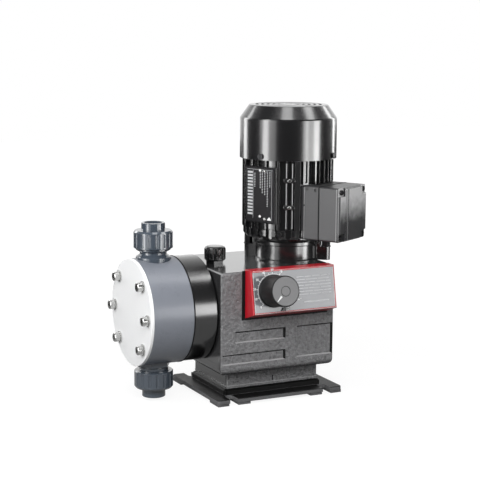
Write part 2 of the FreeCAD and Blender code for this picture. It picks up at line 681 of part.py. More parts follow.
def push_rod():
    x0 = FLANGE_X0 + DIAPHRAGM_T + CORE_T + SEAT_GAP
    stem = cyl_x(ROD_R, x0, COLLAR_X + 1)
    stem = stem.cut(cyl_x(ROD_R * 0.45 + SEAT_GAP, x0 - 1, x0 + 15))
    collar = cyl_x(COLLAR_R, COLLAR_X, COLLAR_X + COLLAR_T)
    x_front = WHEEL_X - ECCENTRIC_R - ECCENTRICITY - TOUCH_GAP
    x_back = WHEEL_X + ECCENTRIC_R + ECCENTRICITY + TOUCH_GAP + STROKE
    wall = 4.5
    pieces = [stem, collar]
    windows = []
    for sy in (-1, 1):
        y0, y1 = sorted((sy * ARM_Y0, sy * ARM_Y1))
        pieces.append(box(COLLAR_X + COLLAR_T - 1, x_front, y0, y1, PUMP_Z - ARM_HALF_H,
                          PUMP_Z + ARM_HALF_H))
        frame = box(x_front - wall, x_back + wall, y0, y1, PUMP_Z - WINDOW_HALF_H - wall,
                    PUMP_Z + WINDOW_HALF_H + wall)
        across = [e for e in frame.Edges if abs(e.tangentAt(0).y) > 0.9]
        pieces.append(frame.makeFillet(3, across))
        windows.append(box(x_front, x_back, y0 - 1, y1 + 1, PUMP_Z - WINDOW_HALF_H,
                           PUMP_Z + WINDOW_HALF_H))
    lug_y = CAM_INNER_Y - CAM_L
    pieces.append(box(COLLAR_X, COLLAR_X + COLLAR_T, lug_y, 0, PUMP_Z, PUMP_Z + COLLAR_R + 2))
    return cut(fuse(pieces), windows)


def return_spring():
    x0 = FLANGE_X1 + SPRING_WIRE_R + TOUCH_GAP
    x1 = COLLAR_X - SPRING_WIRE_R - TOUCH_GAP
    # Half turns, each in a tilted plane, that meet along Y and so join smoothly
    step = (x1 - x0) / (2 * SPRING_TURNS)
    halves = []
    for i in range(2 * SPRING_TURNS):
        side = SPRING_R if i % 2 else -SPRING_R
        start = V(x0 + i * step, 0, PUMP_Z + side)
        end = V(x0 + (i + 1) * step, 0, PUMP_Z - side)
        section = Part.Face(Part.Wire(Part.makeCircle(SPRING_WIRE_R, start, Y_AXIS)))
        axis = (end - start).cross(Y_AXIS)
        halves.append(section.revolve((start + end) * 0.5, axis, 180 if i % 2 else -180))
    return fuse(halves)


# Valves: each stands on the valve axis; side is 1 for discharge (top), -1 for suction

def valve_sizes(side):
    nut = DISCHARGE_NUT if side > 0 else SUCTION_NUT
    tip = DISCHARGE_TIP if side > 0 else SUCTION_TIP
    return nut, tip


def valve_turned(side, profile):
    # profile: (radius, distance from the pump axis)
    return turned_z([(r, PUMP_Z + side * u) for r, u in profile], VALVE_X)


def valve_face(side):
    # Distance of the body's outer face, where the insert's flange sits
    nut, _ = valve_sizes(side)
    return nut + NUT_H - NUT_LIP - INSERT_FLANGE_T


def seat_base_z(side):
    # The seat is at the lower end of the body, so that flow lifts the ball
    if side > 0:
        return PUMP_Z + VALVE_DEEP_U + 1.0
    return PUMP_Z - valve_face(side) + 2.0


def discharge_waist(foot, ring):
    # Wide foot, narrow neck and thin flared ring under the nut
    top = foot + VALVE_BASE_H
    return [(VALVE_BASE_R, foot), (VALVE_BASE_R, top - 1.5), (VALVE_BASE_R - 1.2, top - 0.6),
            (VALVE_NECK_R, top + VALVE_CONE_H - 1), (VALVE_NECK_R, ring - VALVE_RING_T - VALVE_CONE_H),
            (VALVE_RING_R, ring - VALVE_RING_T), (VALVE_RING_R, ring)]


def suction_waist(foot, ring):
    # Neck behind the hexagon, then a disc next to the nut
    disc = ring - VALVE_DISC_T
    return [(VALVE_NECK_R, foot), (VALVE_NECK_R, disc), (VALVE_DISC_R, disc),
            (VALVE_DISC_R, ring - 0.8), (VALVE_DISC_R - 0.8, ring)]


def valve_body(side):
    nut, _ = valve_sizes(side)
    face = valve_face(side)
    ring = nut - 0.6
    foot = SPOT_U + SEAT_GAP
    waist = discharge_waist(foot, ring) if side > 0 else suction_waist(foot, ring)
    body = valve_turned(side, [(0, VALVE_DEEP_U + 0.3), (VALVE_SPIGOT_R, VALVE_DEEP_U + 0.3),
                               (VALVE_SPIGOT_R, foot)] + waist
                        + [(VALVE_THREAD_R, ring), (VALVE_THREAD_R, face), (0, face)])
    if side < 0:
        body = body.fuse(hexagon(VALVE_HEX_AF, PUMP_Z - foot - VALVE_HEX_H, PUMP_Z - foot, VALVE_X))
    z0, z1 = sorted((PUMP_Z + side * (VALVE_DEEP_U - 1), PUMP_Z + side * (face + 1)))
    groove = valve_turned(side, [(SEAL_IN_R, face - SEAL_D), (SEAL_OUT_R, face - SEAL_D),
                                 (SEAL_OUT_R, face + 1), (SEAL_IN_R, face + 1)])
    body = cut(body, [cyl(VALVE_BORE_R, z0, z1, VALVE_X), groove])
    stop = seat_base_z(side) + SEAT_H + BALL_RISE + BALL_R + BALL_LIFT + TOUCH_GAP
    ribs = []
    for deg in (0, 120, 240):
        rib = box(BALL_R * 0.55, VALVE_BORE_R + 0.5, -1, 1, stop, stop + 6)
        rib.rotate(ORIGIN, Z_AXIS, deg)
        ribs.append(rib.translated(V(VALVE_X, 0, 0)))
    return fuse([body] + ribs)


def valve_seat(side):
    z = seat_base_z(side)
    ring = cyl(VALVE_BORE_R - SEAT_GAP, z, z + SEAT_H, VALVE_X)
    return ring.cut(cyl(SEAT_BORE_R, z - 1, z + SEAT_H + 1, VALVE_X))


def valve_ball(side):
    z = seat_base_z(side) + SEAT_H + BALL_RISE
    return Part.makeSphere(BALL_R, V(VALVE_X, 0, z))


def valve_seal(side):
    face = valve_face(side)
    return valve_turned(side, [(SEAL_IN_R + SEAT_GAP, face - SEAL_D + SEAT_GAP),
                               (SEAL_OUT_R - SEAT_GAP, face - SEAL_D + SEAT_GAP),
                               (SEAL_OUT_R - SEAT_GAP, face), (SEAL_IN_R + SEAT_GAP, face)])


def valve_nut(side):
    nut, _ = valve_sizes(side)
    top = nut + NUT_H
    bore = VALVE_THREAD_R + RUN_GAP
    lip = INSERT_R + 0.3
    body = valve_turned(side, [
        (bore, nut), (NUT_R - 0.8, nut), (NUT_R, nut + 0.8), (NUT_R, top - 2.5), (NUT_R - 2, top),
        (lip, top), (lip, top - NUT_LIP + SEAT_GAP), (bore, top - NUT_LIP + SEAT_GAP)])
    z0, z1 = sorted((PUMP_Z + side * (nut + 2.5), PUMP_Z + side * (top - 3.5)))
    notches = []
    for i in range(NUT_RIBS):
        at = polar(NUT_R + 1.2, 360 * (i + 0.5) / NUT_RIBS, 0, VALVE_X)
        notches.append(cyl(2.4, z0, z1, at.x, at.y))
    return cut(body, notches)


def valve_insert(side):
    nut, tip = valve_sizes(side)
    u0 = valve_face(side) + SEAT_GAP
    flange = u0 + INSERT_FLANGE_T - SEAT_GAP
    body = valve_turned(side, [
        (VALVE_BORE_R, u0), (INSERT_FLANGE_R, u0), (INSERT_FLANGE_R, flange), (INSERT_R, flange),
        (INSERT_R, tip - 0.6), (INSERT_R - 0.6, tip), (SOCKET_R, tip), (SOCKET_R, tip - SOCKET_D),
        (VALVE_BORE_R, tip - SOCKET_D)] if tip - SOCKET_D > u0 + 0.5 else [
        (SOCKET_R, u0), (INSERT_FLANGE_R, u0), (INSERT_FLANGE_R, flange), (INSERT_R, flange),
        (INSERT_R, tip - 0.6), (INSERT_R - 0.6, tip), (SOCKET_R, tip)])
    return body


# Gear train

def worm():
    z0 = PUMP_Z - WORM_L / 2
    root = WORM_PITCH_R - 1.25 * GEAR_MODULE
    tip = WORM_PITCH_R + GEAR_MODULE
    half = WORM_LEAD / 4 - GEAR_BACKLASH / 2
    slope = math.tan(math.radians(20)) * GEAR_MODULE
    core = cyl(root, z0, z0 + WORM_L)
    turns = int(WORM_L / WORM_LEAD) - 1
    height = turns * WORM_LEAD
    start = PUMP_Z - height / 2
    helix = Part.makeHelix(WORM_LEAD, height, WORM_PITCH_R)
    profile = [(root - 0.4, 0, -half - slope), (tip, 0, -half + slope), (tip, 0, half - slope),
               (root - 0.4, 0, half + slope)]
    wire = Part.makePolygon([V(*p) for p in profile] + [V(*profile[0])])
    thread = Part.Wire(helix).makePipeShell([wire], True, True)
    thread.translate(V(0, 0, start))
    solid = core.fuse(thread)
    solid = solid.cut(cyl(JOURNAL_R + SEAT_GAP, z0 - 1, z0 + WORM_L + 1))
    return about_motor(solid, 180)


def worm_wheel():
    tip = WHEEL_PITCH_R + GEAR_MODULE
    root = WHEEL_PITCH_R - 1.25 * GEAR_MODULE
    half = WORM_LEAD / 4 + GEAR_BACKLASH / 2
    slope = math.tan(math.radians(20)) * GEAR_MODULE
    wheel = cyl_y(tip, -WHEEL_W / 2, WHEEL_W / 2, 0, 0)
    wheel = wheel.makeChamfer(1.2, [e for e in wheel.Edges if e.Curve.TypeId == "Part::GeomCircle"])
    out = tip + 1
    over = slope * (out - WHEEL_PITCH_R) / GEAR_MODULE
    under = slope * (WHEEL_PITCH_R - root) / GEAR_MODULE
    gaps = []
    for i in range(WHEEL_TEETH):
        gap = prism([(root, -WHEEL_W, -half + under), (out, -WHEEL_W, -half - over),
                     (out, -WHEEL_W, half + over), (root, -WHEEL_W, half - under)],
                    V(0, 2 * WHEEL_W, 0))
        gap.rotate(ORIGIN, X_AXIS, -LEAD_ANGLE)
        gap.rotate(ORIGIN, Y_AXIS, 360 * i / WHEEL_TEETH)
        gaps.append(gap)
    holes = [cyl_y(WHEEL_SEAT_R + SEAT_GAP, -WHEEL_W, WHEEL_W, 0, 0)]
    wheel = cut(wheel, gaps + holes)
    return wheel.translated(V(WHEEL_X, 0, PUMP_Z))


def eccentric_shaft():
    seat = cyl_y(WHEEL_SEAT_R, -WHEEL_W / 2, WHEEL_W / 2, WHEEL_X, PUMP_Z)
    end = WHEEL_BEARING_Y + BEARING_W / 2
    journal = cyl_y(JOURNAL_R, -end, end, WHEEL_X, PUMP_Z)
    pieces = [seat, journal]
    for sy in (-1, 1):
        y0, y1 = sorted((sy * (WHEEL_W / 2 - 0.5), sy * (ARM_Y1 + 1.5)))
        pieces.append(cyl_y(ECCENTRIC_R, y0, y1, WHEEL_X - ECCENTRICITY, PUMP_Z))
    return fuse(pieces)


def bearing_ring():
    # One ring with a shallow groove on each face, standing on z = 0
    r0, r1, w = JOURNAL_R + RUN_GAP, BEARING_R, BEARING_W
    m = (r0 + r1) / 2
    return revolved([(r, 0, z) for r, z in (
        (r0, 0), (m - 2, 0), (m - 2, 0.8), (m + 2, 0.8), (m + 2, 0), (r1, 0),
        (r1, w), (m + 2, w), (m + 2, w - 0.8), (m - 2, w - 0.8), (m - 2, w), (r0, w))])


def shaft_bearings():
    return group([bearing_ring().translated(V(MOTOR_X, 0, z)) for z in
                  (LOWER_BEARING_Z, LANTERN_BEARING_Z, SHIELD_BEARING_Z, FAN_BEARING_Z)])


def wheel_bearings():
    rings = []
    for y in (-WHEEL_BEARING_Y, WHEEL_BEARING_Y):
        ring = bearing_ring()
        ring.rotate(ORIGIN, X_AXIS, -90)
        rings.append(ring.translated(V(WHEEL_X, y - BEARING_W / 2, PUMP_Z)))
    return group(rings)


# Control panel and stroke adjustment

def panel_outline(inset, y_back):
    # Side view of the wedge, seen along X
    top = V(0, PANEL_TOP_Y, PANEL_Z1) - FACE_OUT * inset
    foot = V(0, PANEL_FOOT_Y, PANEL_FOOT_Z) - FACE_OUT * inset
    return [(y_back, PANEL_Z0 + inset), (foot.y, foot.z + inset * 0.6),
            (top.y, PANEL_Z1 - inset), (y_back, PANEL_Z1 - inset)]


def face_block(inset, depth, out):
    # A slab parallel to the panel's face, from depth below it to out above it
    foot = V(PANEL_X0 + inset, PANEL_FOOT_Y, PANEL_FOOT_Z) + FACE_UP * inset
    length = math.hypot(PANEL_Z1 - PANEL_FOOT_Z, PANEL_TOP_Y - PANEL_FOOT_Y) - 2 * inset
    low = foot - FACE_OUT * depth
    width = V(PANEL_X1 - PANEL_X0 - 2 * inset, 0, 0)
    corners = [low, low + width, low + width + FACE_UP * length, low + FACE_UP * length]
    return prism([tuple(c) for c in corners], FACE_OUT * (depth + out))


def spindle_hole():
    return rod(SPINDLE_R + PANEL_HOLE_GAP, KNOB_BASE - FACE_OUT * (PANEL_REACH / 2), FACE_OUT, PANEL_REACH)


def panel_bezel():
    back = -HOUSING_HALF_Y - SEAT_GAP
    points = [(PANEL_X0, y, z) for y, z in panel_outline(0, back)]
    wedge = prism(points, V(PANEL_X1 - PANEL_X0, 0, 0))
    across = [e for e in wedge.Edges if e.BoundBox.YMax < back - 1]
    wedge = wedge.makeFillet(1.6, across)
    w = PANEL_WALL + FACEPLATE_SINK
    inner = [(PANEL_X0 + PANEL_WALL, y, z) for y, z in panel_outline(w, back + 1)]
    room = prism(inner, V(PANEL_X1 - PANEL_X0 - 2 * PANEL_WALL, 0, 0))
    pocket = face_block(FACE_BORDER, FACEPLATE_SINK, 5)
    return cut(wedge, [room, pocket, spindle_hole()])


def faceplate():
    plate = face_block(FACE_BORDER + 0.15, FACEPLATE_SINK - SEAT_GAP, FACEPLATE_T - FACEPLATE_SINK)
    normal = [e for e in plate.Edges if abs(e.tangentAt(0).dot(FACE_OUT)) > 0.999]
    plate = plate.makeFillet(1.5, normal)
    return plate.cut(spindle_hole())


def knob_profile(profile):
    # profile: (radius, distance out of the panel's face), turned about the spindle
    solid = revolved([(r, 0, u) for r, u in profile])
    solid.rotate(ORIGIN, X_AXIS, 90 - math.degrees(PANEL_TILT))
    return solid.translated(KNOB_BASE)


def knob():
    lift = FACEPLATE_T - FACEPLATE_SINK + 0.4
    top = KNOB_L
    body = knob_profile([
        (SPINDLE_R + SEAT_GAP, lift), (KNOB_SKIRT_R, lift), (KNOB_SKIRT_R, lift + KNOB_SKIRT_L - 1),
        (KNOB_SKIRT_R - 1, lift + KNOB_SKIRT_L), (KNOB_R, lift + KNOB_SKIRT_L), (KNOB_R - 0.3, top - 0.8),
        (KNOB_R - 1.1, top), (KNOB_R - 1.6, top), (KNOB_R - 1.6, top - 2.0),
        (SPINDLE_R + SEAT_GAP, top - 2.0)])
    return body


def knob_face():
    top = KNOB_L
    r = KNOB_R - 1.6 - SEAT_GAP
    return knob_profile([(0, top - 2.0 + SEAT_GAP), (r, top - 2.0 + SEAT_GAP), (r, top - 0.3),
                         (r - 0.3, top), (7.2, top), (7.2, top - 0.5), (6.2, top - 0.5), (6.2, top),
                         (0, top)])


def stroke_spindle():
    # Round bar with a snail cam at its inner end
    inner = (KNOB_Y - CAM_INNER_Y) / FACE_OUT.y
    shaft = rod(SPINDLE_R, V(0, 0, -inner), Z_AXIS, inner + KNOB_L - 2.2)
    steps = 36
    points = []
    for i in range(steps):
        share = i / (steps - 1)
        r = CAM_MAX_R - STROKE * share
        a = math.radians(180 + 300 * share)
        points.append((r * math.cos(a), r * math.sin(a), -inner))
    snail = prism(points, V(0, 0, CAM_L))
    solid = shaft.fuse(snail)
    solid.rotate(ORIGIN, X_AXIS, 90 - math.degrees(PANEL_TILT))
    return solid.translated(KNOB_BASE)


def spindle_bush():
    depth = (KNOB_Y + HOUSING_HALF_Y) / FACE_OUT.y
    length = HOUSING_WALL / -FACE_OUT.y + 6
    base = KNOB_BASE - FACE_OUT * (depth + length - 3)
    bush = rod(SPINDLE_BUSH_R, base, FACE_OUT, length)
    return bush.cut(rod(SPINDLE_R + RUN_GAP, base - FACE_OUT, FACE_OUT, length + 2))


# Motor

def motor_lantern():
    z0, z1 = HOUSING_Z1 + SEAT_GAP, SHIELD_Z0
    wall = 8.0
    barrel = turned_z([
        (HUB_R, z0), (LANTERN_R + 2, z0), (LANTERN_R + 2, z0 + 2), (LANTERN_R, z0 + 3.5),
        (LANTERN_R, z1 - 5.5), (LANTERN_R + 1.5, z1 - 4.5), (LANTERN_R + 1.5, z1),
        (LANTERN_R - wall, z1), (LANTERN_R - wall, z0 + wall), (HUB_R, z0 + wall)], MOTOR_X)
    hub = cyl(HUB_R, HOUSING_Z1 - HOUSING_WALL - 9, z0 + wall, MOTOR_X)
    posts = []
    for deg in LUG_ANGLES:
        post = fuse([box(LANTERN_R - 4, LUG_R, -LUG_W / 2, LUG_W / 2, z0, z0 + POST_H),
                     cyl(LUG_W / 2, z0, z0 + POST_H, LUG_R)])
        web = box(LANTERN_R - 4, LUG_R - NUT_ROOM, -LUG_W / 2, LUG_W / 2, z0 + POST_H - 1, z1)
        posts.append(about_motor(post.fuse(web), deg))
    tools = [cyl(SHAFT_R + 1, 0, z1, MOTOR_X),
             cyl(BEARING_R + SEAT_GAP, LANTERN_BEARING_Z, LANTERN_BEARING_Z + BEARING_W, MOTOR_X)]
    tools += [about_motor(cyl(STUD_R + RUN_GAP, z0 + 4, z1, LUG_R), deg) for deg in LUG_ANGLES]
    return cut(fuse([barrel, hub] + posts), tools)


def motor_studs():
    studs = []
    z_collar = HOUSING_Z1 + POST_H + 2 * SEAT_GAP
    for deg in LUG_ANGLES:
        bar = cyl(STUD_R, HOUSING_Z1 + 5, STUD_Z1, LUG_R)
        washer = cyl(STUD_R * 2.4, z_collar, z_collar + 1, LUG_R)
        collar = hexagon(STUD_R * 3.6, z_collar + 0.5, SHIELD_Z0 + 1 - SEAT_GAP, LUG_R)
        studs.append(about_motor(fuse([bar, washer, collar]), deg))
    return group(studs)


def end_shield():
    z0, z1 = SHIELD_Z0 + SEAT_GAP, FRAME_Z0
    r = SHIELD_R
    rim = FRAME_R + SHIELD_RIM
    body = turned_z([
        (BEARING_R + 4, z0), (LANTERN_R + 1.5, z0), (LANTERN_R + 3, z0 + 2), (rim - 3, z0 + 7),
        (rim, z0 + 11), (rim, z1), (r - 8, z1), (r - 8, z0 + 12), (BEARING_R + 6, z0 + 12),
        (BEARING_R + 6, SHIELD_BEARING_Z + BEARING_W + 1),
        (BEARING_R + 4, SHIELD_BEARING_Z + BEARING_W + 1)])
    body = cut(body, shield_pockets())
    hub = cyl(BEARING_R + 5, z0, SHIELD_BEARING_Z + BEARING_W + 1)
    lugs = []
    for deg in LUG_ANGLES:
        lug = fuse([box(LANTERN_R, LUG_R, -LUG_W / 2, LUG_W / 2, z0 + 1, z1),
                    cyl(LUG_W / 2, z0 + 1, z1, LUG_R)])
        lugs.append(spun(lug, deg))
    tools = [cyl(SHAFT_R + 1, z0 - 1, z1), cyl(BEARING_R + SEAT_GAP, SHIELD_BEARING_Z, z1), box_seat(z0)]
    tools += [spun(cyl(STUD_R + RUN_GAP, z0, STUD_Z1 + 0.5, LUG_R), deg) for deg in LUG_ANGLES]
    for deg in shield_screw_angles():
        tools.append(spun(cyl_x(SHIELD_SCREW_R, r - 6, r + 6, 0, SHIELD_SCREW_Z), deg))
    return about_motor(cut(fuse([body, hub] + lugs), tools), 0)


def shield_pockets():
    # Arched pockets all round, with the shield's webs standing between them
    foot = SHIELD_Z0 + SHIELD_POCKET_Z + SHIELD_POCKET_W / 2
    pocket = fuse([box(SHIELD_R, FIN_R + 1, -SHIELD_POCKET_W / 2, SHIELD_POCKET_W / 2, foot, FRAME_Z0 + 1),
                   cyl_x(SHIELD_POCKET_W / 2, SHIELD_R, FIN_R + 1, 0, foot)])
    return [spun(pocket, pocket_angle(i)) for i in range(SHIELD_POCKETS)]


def pocket_angle(index):
    return SHIELD_FIRST_POCKET + 360 * index / SHIELD_POCKETS


def shield_screw_angles():
    return [pocket_angle(i) for i in SHIELD_SCREW_POCKETS]


def box_seat(z0):
    # The room that the terminal box takes from the motor's fins
    half = BOX_SIDE / 2 + BOX_SEAT_GAP
    room = box(BOX_BACK - BOX_SEAT_GAP, FIN_R + 10, -half, half, BOX_Z0 - BOX_SEAT_GAP, BOX_Z1 + BOX_SEAT_GAP)
    room = room.cut(cyl(SHIELD_R, z0 - 1, FRAME_Z0)).cut(cyl(FRAME_R, FRAME_Z0, FRAME_Z1))
    return spun(room, BOX_ANGLE)


def shield_screws():
    screws = []
    r, z = SHIELD_R, SHIELD_SCREW_Z
    for deg in shield_screw_angles():
        shank = cyl_x(SHIELD_SCREW_R - SEAT_GAP, r - 5, r + 1, 0, z)
        head = cyl_x(SHIELD_HEAD_R, r + SEAT_GAP, r + 2.6, 0, z)
        socket = cyl_x(SHIELD_HEAD_R * 0.42, r + 1.2, r + 3, 0, z)
        screws.append(about_motor(shank.fuse(head).cut(socket), deg))
    return group(screws)


def motor_frame():
    z0, z1 = FRAME_Z0 + SEAT_GAP, FRAME_Z1
    ribs = [spun(box(FRAME_R - 1, FIN_R, -FIN_T / 2, FIN_T / 2, z0, z1), deg) for deg in FIN_ANGLES]
    for deg, width, height in WIDE_RIBS:
        foot = BOX_Z1 + BOX_SEAT_GAP if deg == SLOT_RIB_ANGLE else z0
        ribs.append(spun(box(FRAME_R - 3, FRAME_R + height, -width / 2, width / 2, foot, z1), deg))
    slot_z = BOX_Z1 + 6
    slot_x0, slot_x1 = FIN_R - 3, FIN_R + 5
    slot = fuse([box(slot_x0, slot_x1, -RIB_SLOT_R, RIB_SLOT_R, slot_z, z1 + 1),
                 cyl_x(RIB_SLOT_R, slot_x0, slot_x1, 0, slot_z)])
    seat, slot = box_seat(z0), spun(slot, SLOT_RIB_ANGLE)
    ribs = [rib.cut([seat, slot]) for rib in ribs]
    pad = box(FRAME_R - 8, PLATE_PAD_R, -PLATE_W / 2 - PLATE_MARGIN, PLATE_W / 2 + PLATE_MARGIN,
              PLATE_Z0 - PLATE_MARGIN, PLATE_Z0 + PLATE_H + PLATE_MARGIN)
    body = fuse([cyl(FRAME_R, z0, z1), spun(pad, PLATE_ANGLE)] + ribs)
    hole = cyl_x(BOX_WIRE_R, FRAME_R - 12, FRAME_R + 5, 0, BOX_MID_Z)
    return about_motor(cut(body, [spun(hole, BOX_ANGLE), cyl(FRAME_R - FRAME_WALL, z0 - 1, z1 + 1)]), 0)


def nameplate():
    plate = box(PLATE_PAD_R + SEAT_GAP, PLATE_PAD_R + 1.0, -PLATE_W / 2, PLATE_W / 2,
                PLATE_Z0, PLATE_Z0 + PLATE_H)
    holes = [cyl_x(1.2, PLATE_PAD_R - 1, PLATE_PAD_R + 5, RIVET_T, z) for z in rivet_heights()]
    return about_motor(cut(plate, holes), PLATE_ANGLE)


def rivet_heights():
    return PLATE_Z0 + 4.0, PLATE_Z0 + PLATE_H - 4.0


def nameplate_rivets():
    rivets = []
    for z in rivet_heights():
        stem = cyl_x(1.2 - SEAT_GAP, PLATE_PAD_R + SEAT_GAP, PLATE_PAD_R + 1.5, RIVET_T, z)
        head = Part.makeSphere(2.6, V(PLATE_PAD_R + 0.4, RIVET_T, z))
        head = head.common(cyl_x(3, PLATE_PAD_R + 1.0 + SEAT_GAP, PLATE_PAD_R + 5, RIVET_T, z))
        rivets.append(about_motor(stem.fuse(head), PLATE_ANGLE))
    return group(rivets)


def stator_core():
    z0 = FRAME_Z0 + STACK_LIFT
    core = cyl(FRAME_R - FRAME_WALL - SEAT_GAP, z0, z0 + STACK_H, MOTOR_X)
    return core.cut(cyl(STATOR_BORE_R, z0 - 1, z0 + STACK_H + 1, MOTOR_X))


def stator_windings():
    r0, r1 = STATOR_BORE_R + 2, FRAME_R - FRAME_WALL - 5
    z = FRAME_Z0 + STACK_LIFT
    rings = []
    for base, up in ((z - SEAT_GAP, -1), (z + STACK_H + SEAT_GAP, 1)):
        rings.append(turned_z([(r0, base), (r0, base + up * (WINDING_H - 3)),
                               (r0 + 3, base + up * WINDING_H), (r1 - 3, base + up * WINDING_H),
                               (r1, base + up * (WINDING_H - 3)), (r1, base)], MOTOR_X))
    return group(rings)


def rotor_core():
    z0 = FRAME_Z0 + STACK_LIFT
    core = turned_z([(ROTOR_SEAT_R + SEAT_GAP, z0), (STATOR_BORE_R - AIR_GAP, z0),
                     (STATOR_BORE_R - AIR_GAP, z0 + STACK_H), (ROTOR_SEAT_R + SEAT_GAP, z0 + STACK_H)],
                    MOTOR_X)
    rings = []
    ring_r, h = STATOR_BORE_R - ROTOR_RING_GAP, ROTOR_RING_H
    for base, up in ((z0, -1), (z0 + STACK_H, 1)):
        rings.append(turned_z([(ring_r - ROTOR_RING_W, base - up), (ring_r - ROTOR_RING_W, base + up * h),
                               (ring_r, base + up * h), (ring_r, base - up)], MOTOR_X))
    return fuse([core] + rings)


def motor_shaft():
    seats = (LOWER_BEARING_Z, LANTERN_BEARING_Z, SHIELD_BEARING_Z, FAN_BEARING_Z)
    gap = 0.3
    worm_z1 = PUMP_Z + WORM_L / 2
    pieces = [cyl(JOURNAL_R, seats[0] + 0.5, FAN_SHIELD_Z1 + FAN_LIFT + FAN_HUB_H + 2)]
    pieces.append(cyl(SHAFT_R, worm_z1 + gap, seats[1] - gap))
    pieces.append(cyl(SHAFT_R, seats[1] + BEARING_W + gap, seats[2] - gap))
    pieces.append(cyl(SHAFT_R, seats[2] + BEARING_W + gap, seats[3] - gap))
    pieces.append(cyl(ROTOR_SEAT_R, FRAME_Z0 + STACK_LIFT - 2, FRAME_Z0 + STACK_LIFT + STACK_H + 2))
    return about_motor(fuse(pieces), 0)


def fan_shield():
    z0, z1 = FRAME_Z1 + SEAT_GAP, FAN_SHIELD_Z1
    r = FRAME_R + 3
    body = turned_z([(SHAFT_R + 1, z0), (r, z0), (r, z1 - 3), (r - 3, z1), (SHAFT_R + 1, z1)], MOTOR_X)
    arms = []
    for deg in COVER_SCREW_ANGLES:
        arm = box(r - 5, COVER_R - COVER_WALL - 0.4, -5, 5, z0 + 1, z1)
        arms.append(about_motor(arm, deg))
    tools = [cyl(BEARING_R + SEAT_GAP, FAN_BEARING_Z, FAN_BEARING_Z + BEARING_W, MOTOR_X)]
    tools += [about_motor(cyl_x(2.0, r - 4, COVER_R + 1, 0, COVER_SCREW_Z), deg)
              for deg in COVER_SCREW_ANGLES]
    return cut(fuse([body] + arms), tools)


def fan_cover():
    w = COVER_WALL
    shell = turned_z([
        (COVER_R - w, COVER_Z0), (COVER_R, COVER_Z0), (COVER_R, COVER_CONE_Z - 1),
        (COVER_R - 0.6, COVER_CONE_Z + 0.6), (COVER_TOP_R + 0.6, COVER_Z1 - 0.8), (COVER_TOP_R - 0.6, COVER_Z1),
        (0, COVER_Z1), (0, COVER_Z1 - w), (COVER_TOP_R - w, COVER_Z1 - w),
        (COVER_R - w, COVER_CONE_Z)])
    tools = []
    for r in GRILLE_RINGS:
        band = revolved([(r - GRILLE_SLOT_W / 2, 0, COVER_Z1 - w - 1), (r + GRILLE_SLOT_W / 2, 0, COVER_Z1 - w - 1),
                         (r + GRILLE_SLOT_W / 2, 0, COVER_Z1 + 1), (r - GRILLE_SLOT_W / 2, 0, COVER_Z1 + 1)])
        bars = [box(-COVER_R, COVER_R, -2, 2, COVER_Z0, COVER_Z1 + 2),
                box(-2, 2, -COVER_R, COVER_R, COVER_Z0, COVER_Z1 + 2)]
        tools.append(cut(band, bars))
    shell = cut(shell, tools)
    holes = [rod(2.0 + BOLT_GAP / 2, polar(COVER_R - 5, deg, COVER_SCREW_Z), polar(1, deg), 10)
             for deg in COVER_SCREW_ANGLES]
    return about_motor(cut(shell, holes), 0)


def fan_cover_screws():
    screws = []
    for deg in COVER_SCREW_ANGLES:
        shank = cyl_x(2.0 - SEAT_GAP, FRAME_R, COVER_R + 1, 0, COVER_SCREW_Z)
        head = cyl_x(4.0, COVER_R + SEAT_GAP, COVER_R + 2.4, 0, COVER_SCREW_Z)
        slot = box(COVER_R + 1.4, COVER_R + 4, -0.6, 0.6, COVER_SCREW_Z - 5, COVER_SCREW_Z + 5)
        screws.append(about_motor(shank.fuse(head).cut(slot), deg))
    return group(screws)


def fan():
    z0 = FAN_SHIELD_Z1 + FAN_LIFT
    disc = turned_z([(JOURNAL_R + SEAT_GAP, z0), (FAN_R, z0), (FAN_R, z0 + FAN_DISC_T),
                     (FAN_HUB_R + 2, z0 + FAN_DISC_T + 1), (FAN_HUB_R, z0 + FAN_HUB_H),
                     (JOURNAL_R + SEAT_GAP, z0 + FAN_HUB_H)])
    blades = []
    for i in range(FAN_BLADES):
        top = z0 + FAN_BLADE_H
        blade = box(FAN_HUB_R - 1, FAN_R - 1, -1, 1, z0 + 1, top)
        trim = prism([(FAN_R - FAN_TRIM, -2, top + 0.5), (FAN_R, -2, top + 0.5),
                      (FAN_R, -2, top - FAN_TRIM * 0.42)],
                     V(0, 4, 0))
        blades.append(spun(blade.cut(trim), 360 * i / FAN_BLADES))
    bore = cyl(JOURNAL_R + SEAT_GAP, z0 - 1, z0 + FAN_BLADE_H + 1)
    return about_motor(cut(fuse([disc] + blades), [bore]), 0)


# Terminal box, built facing +X and then turned

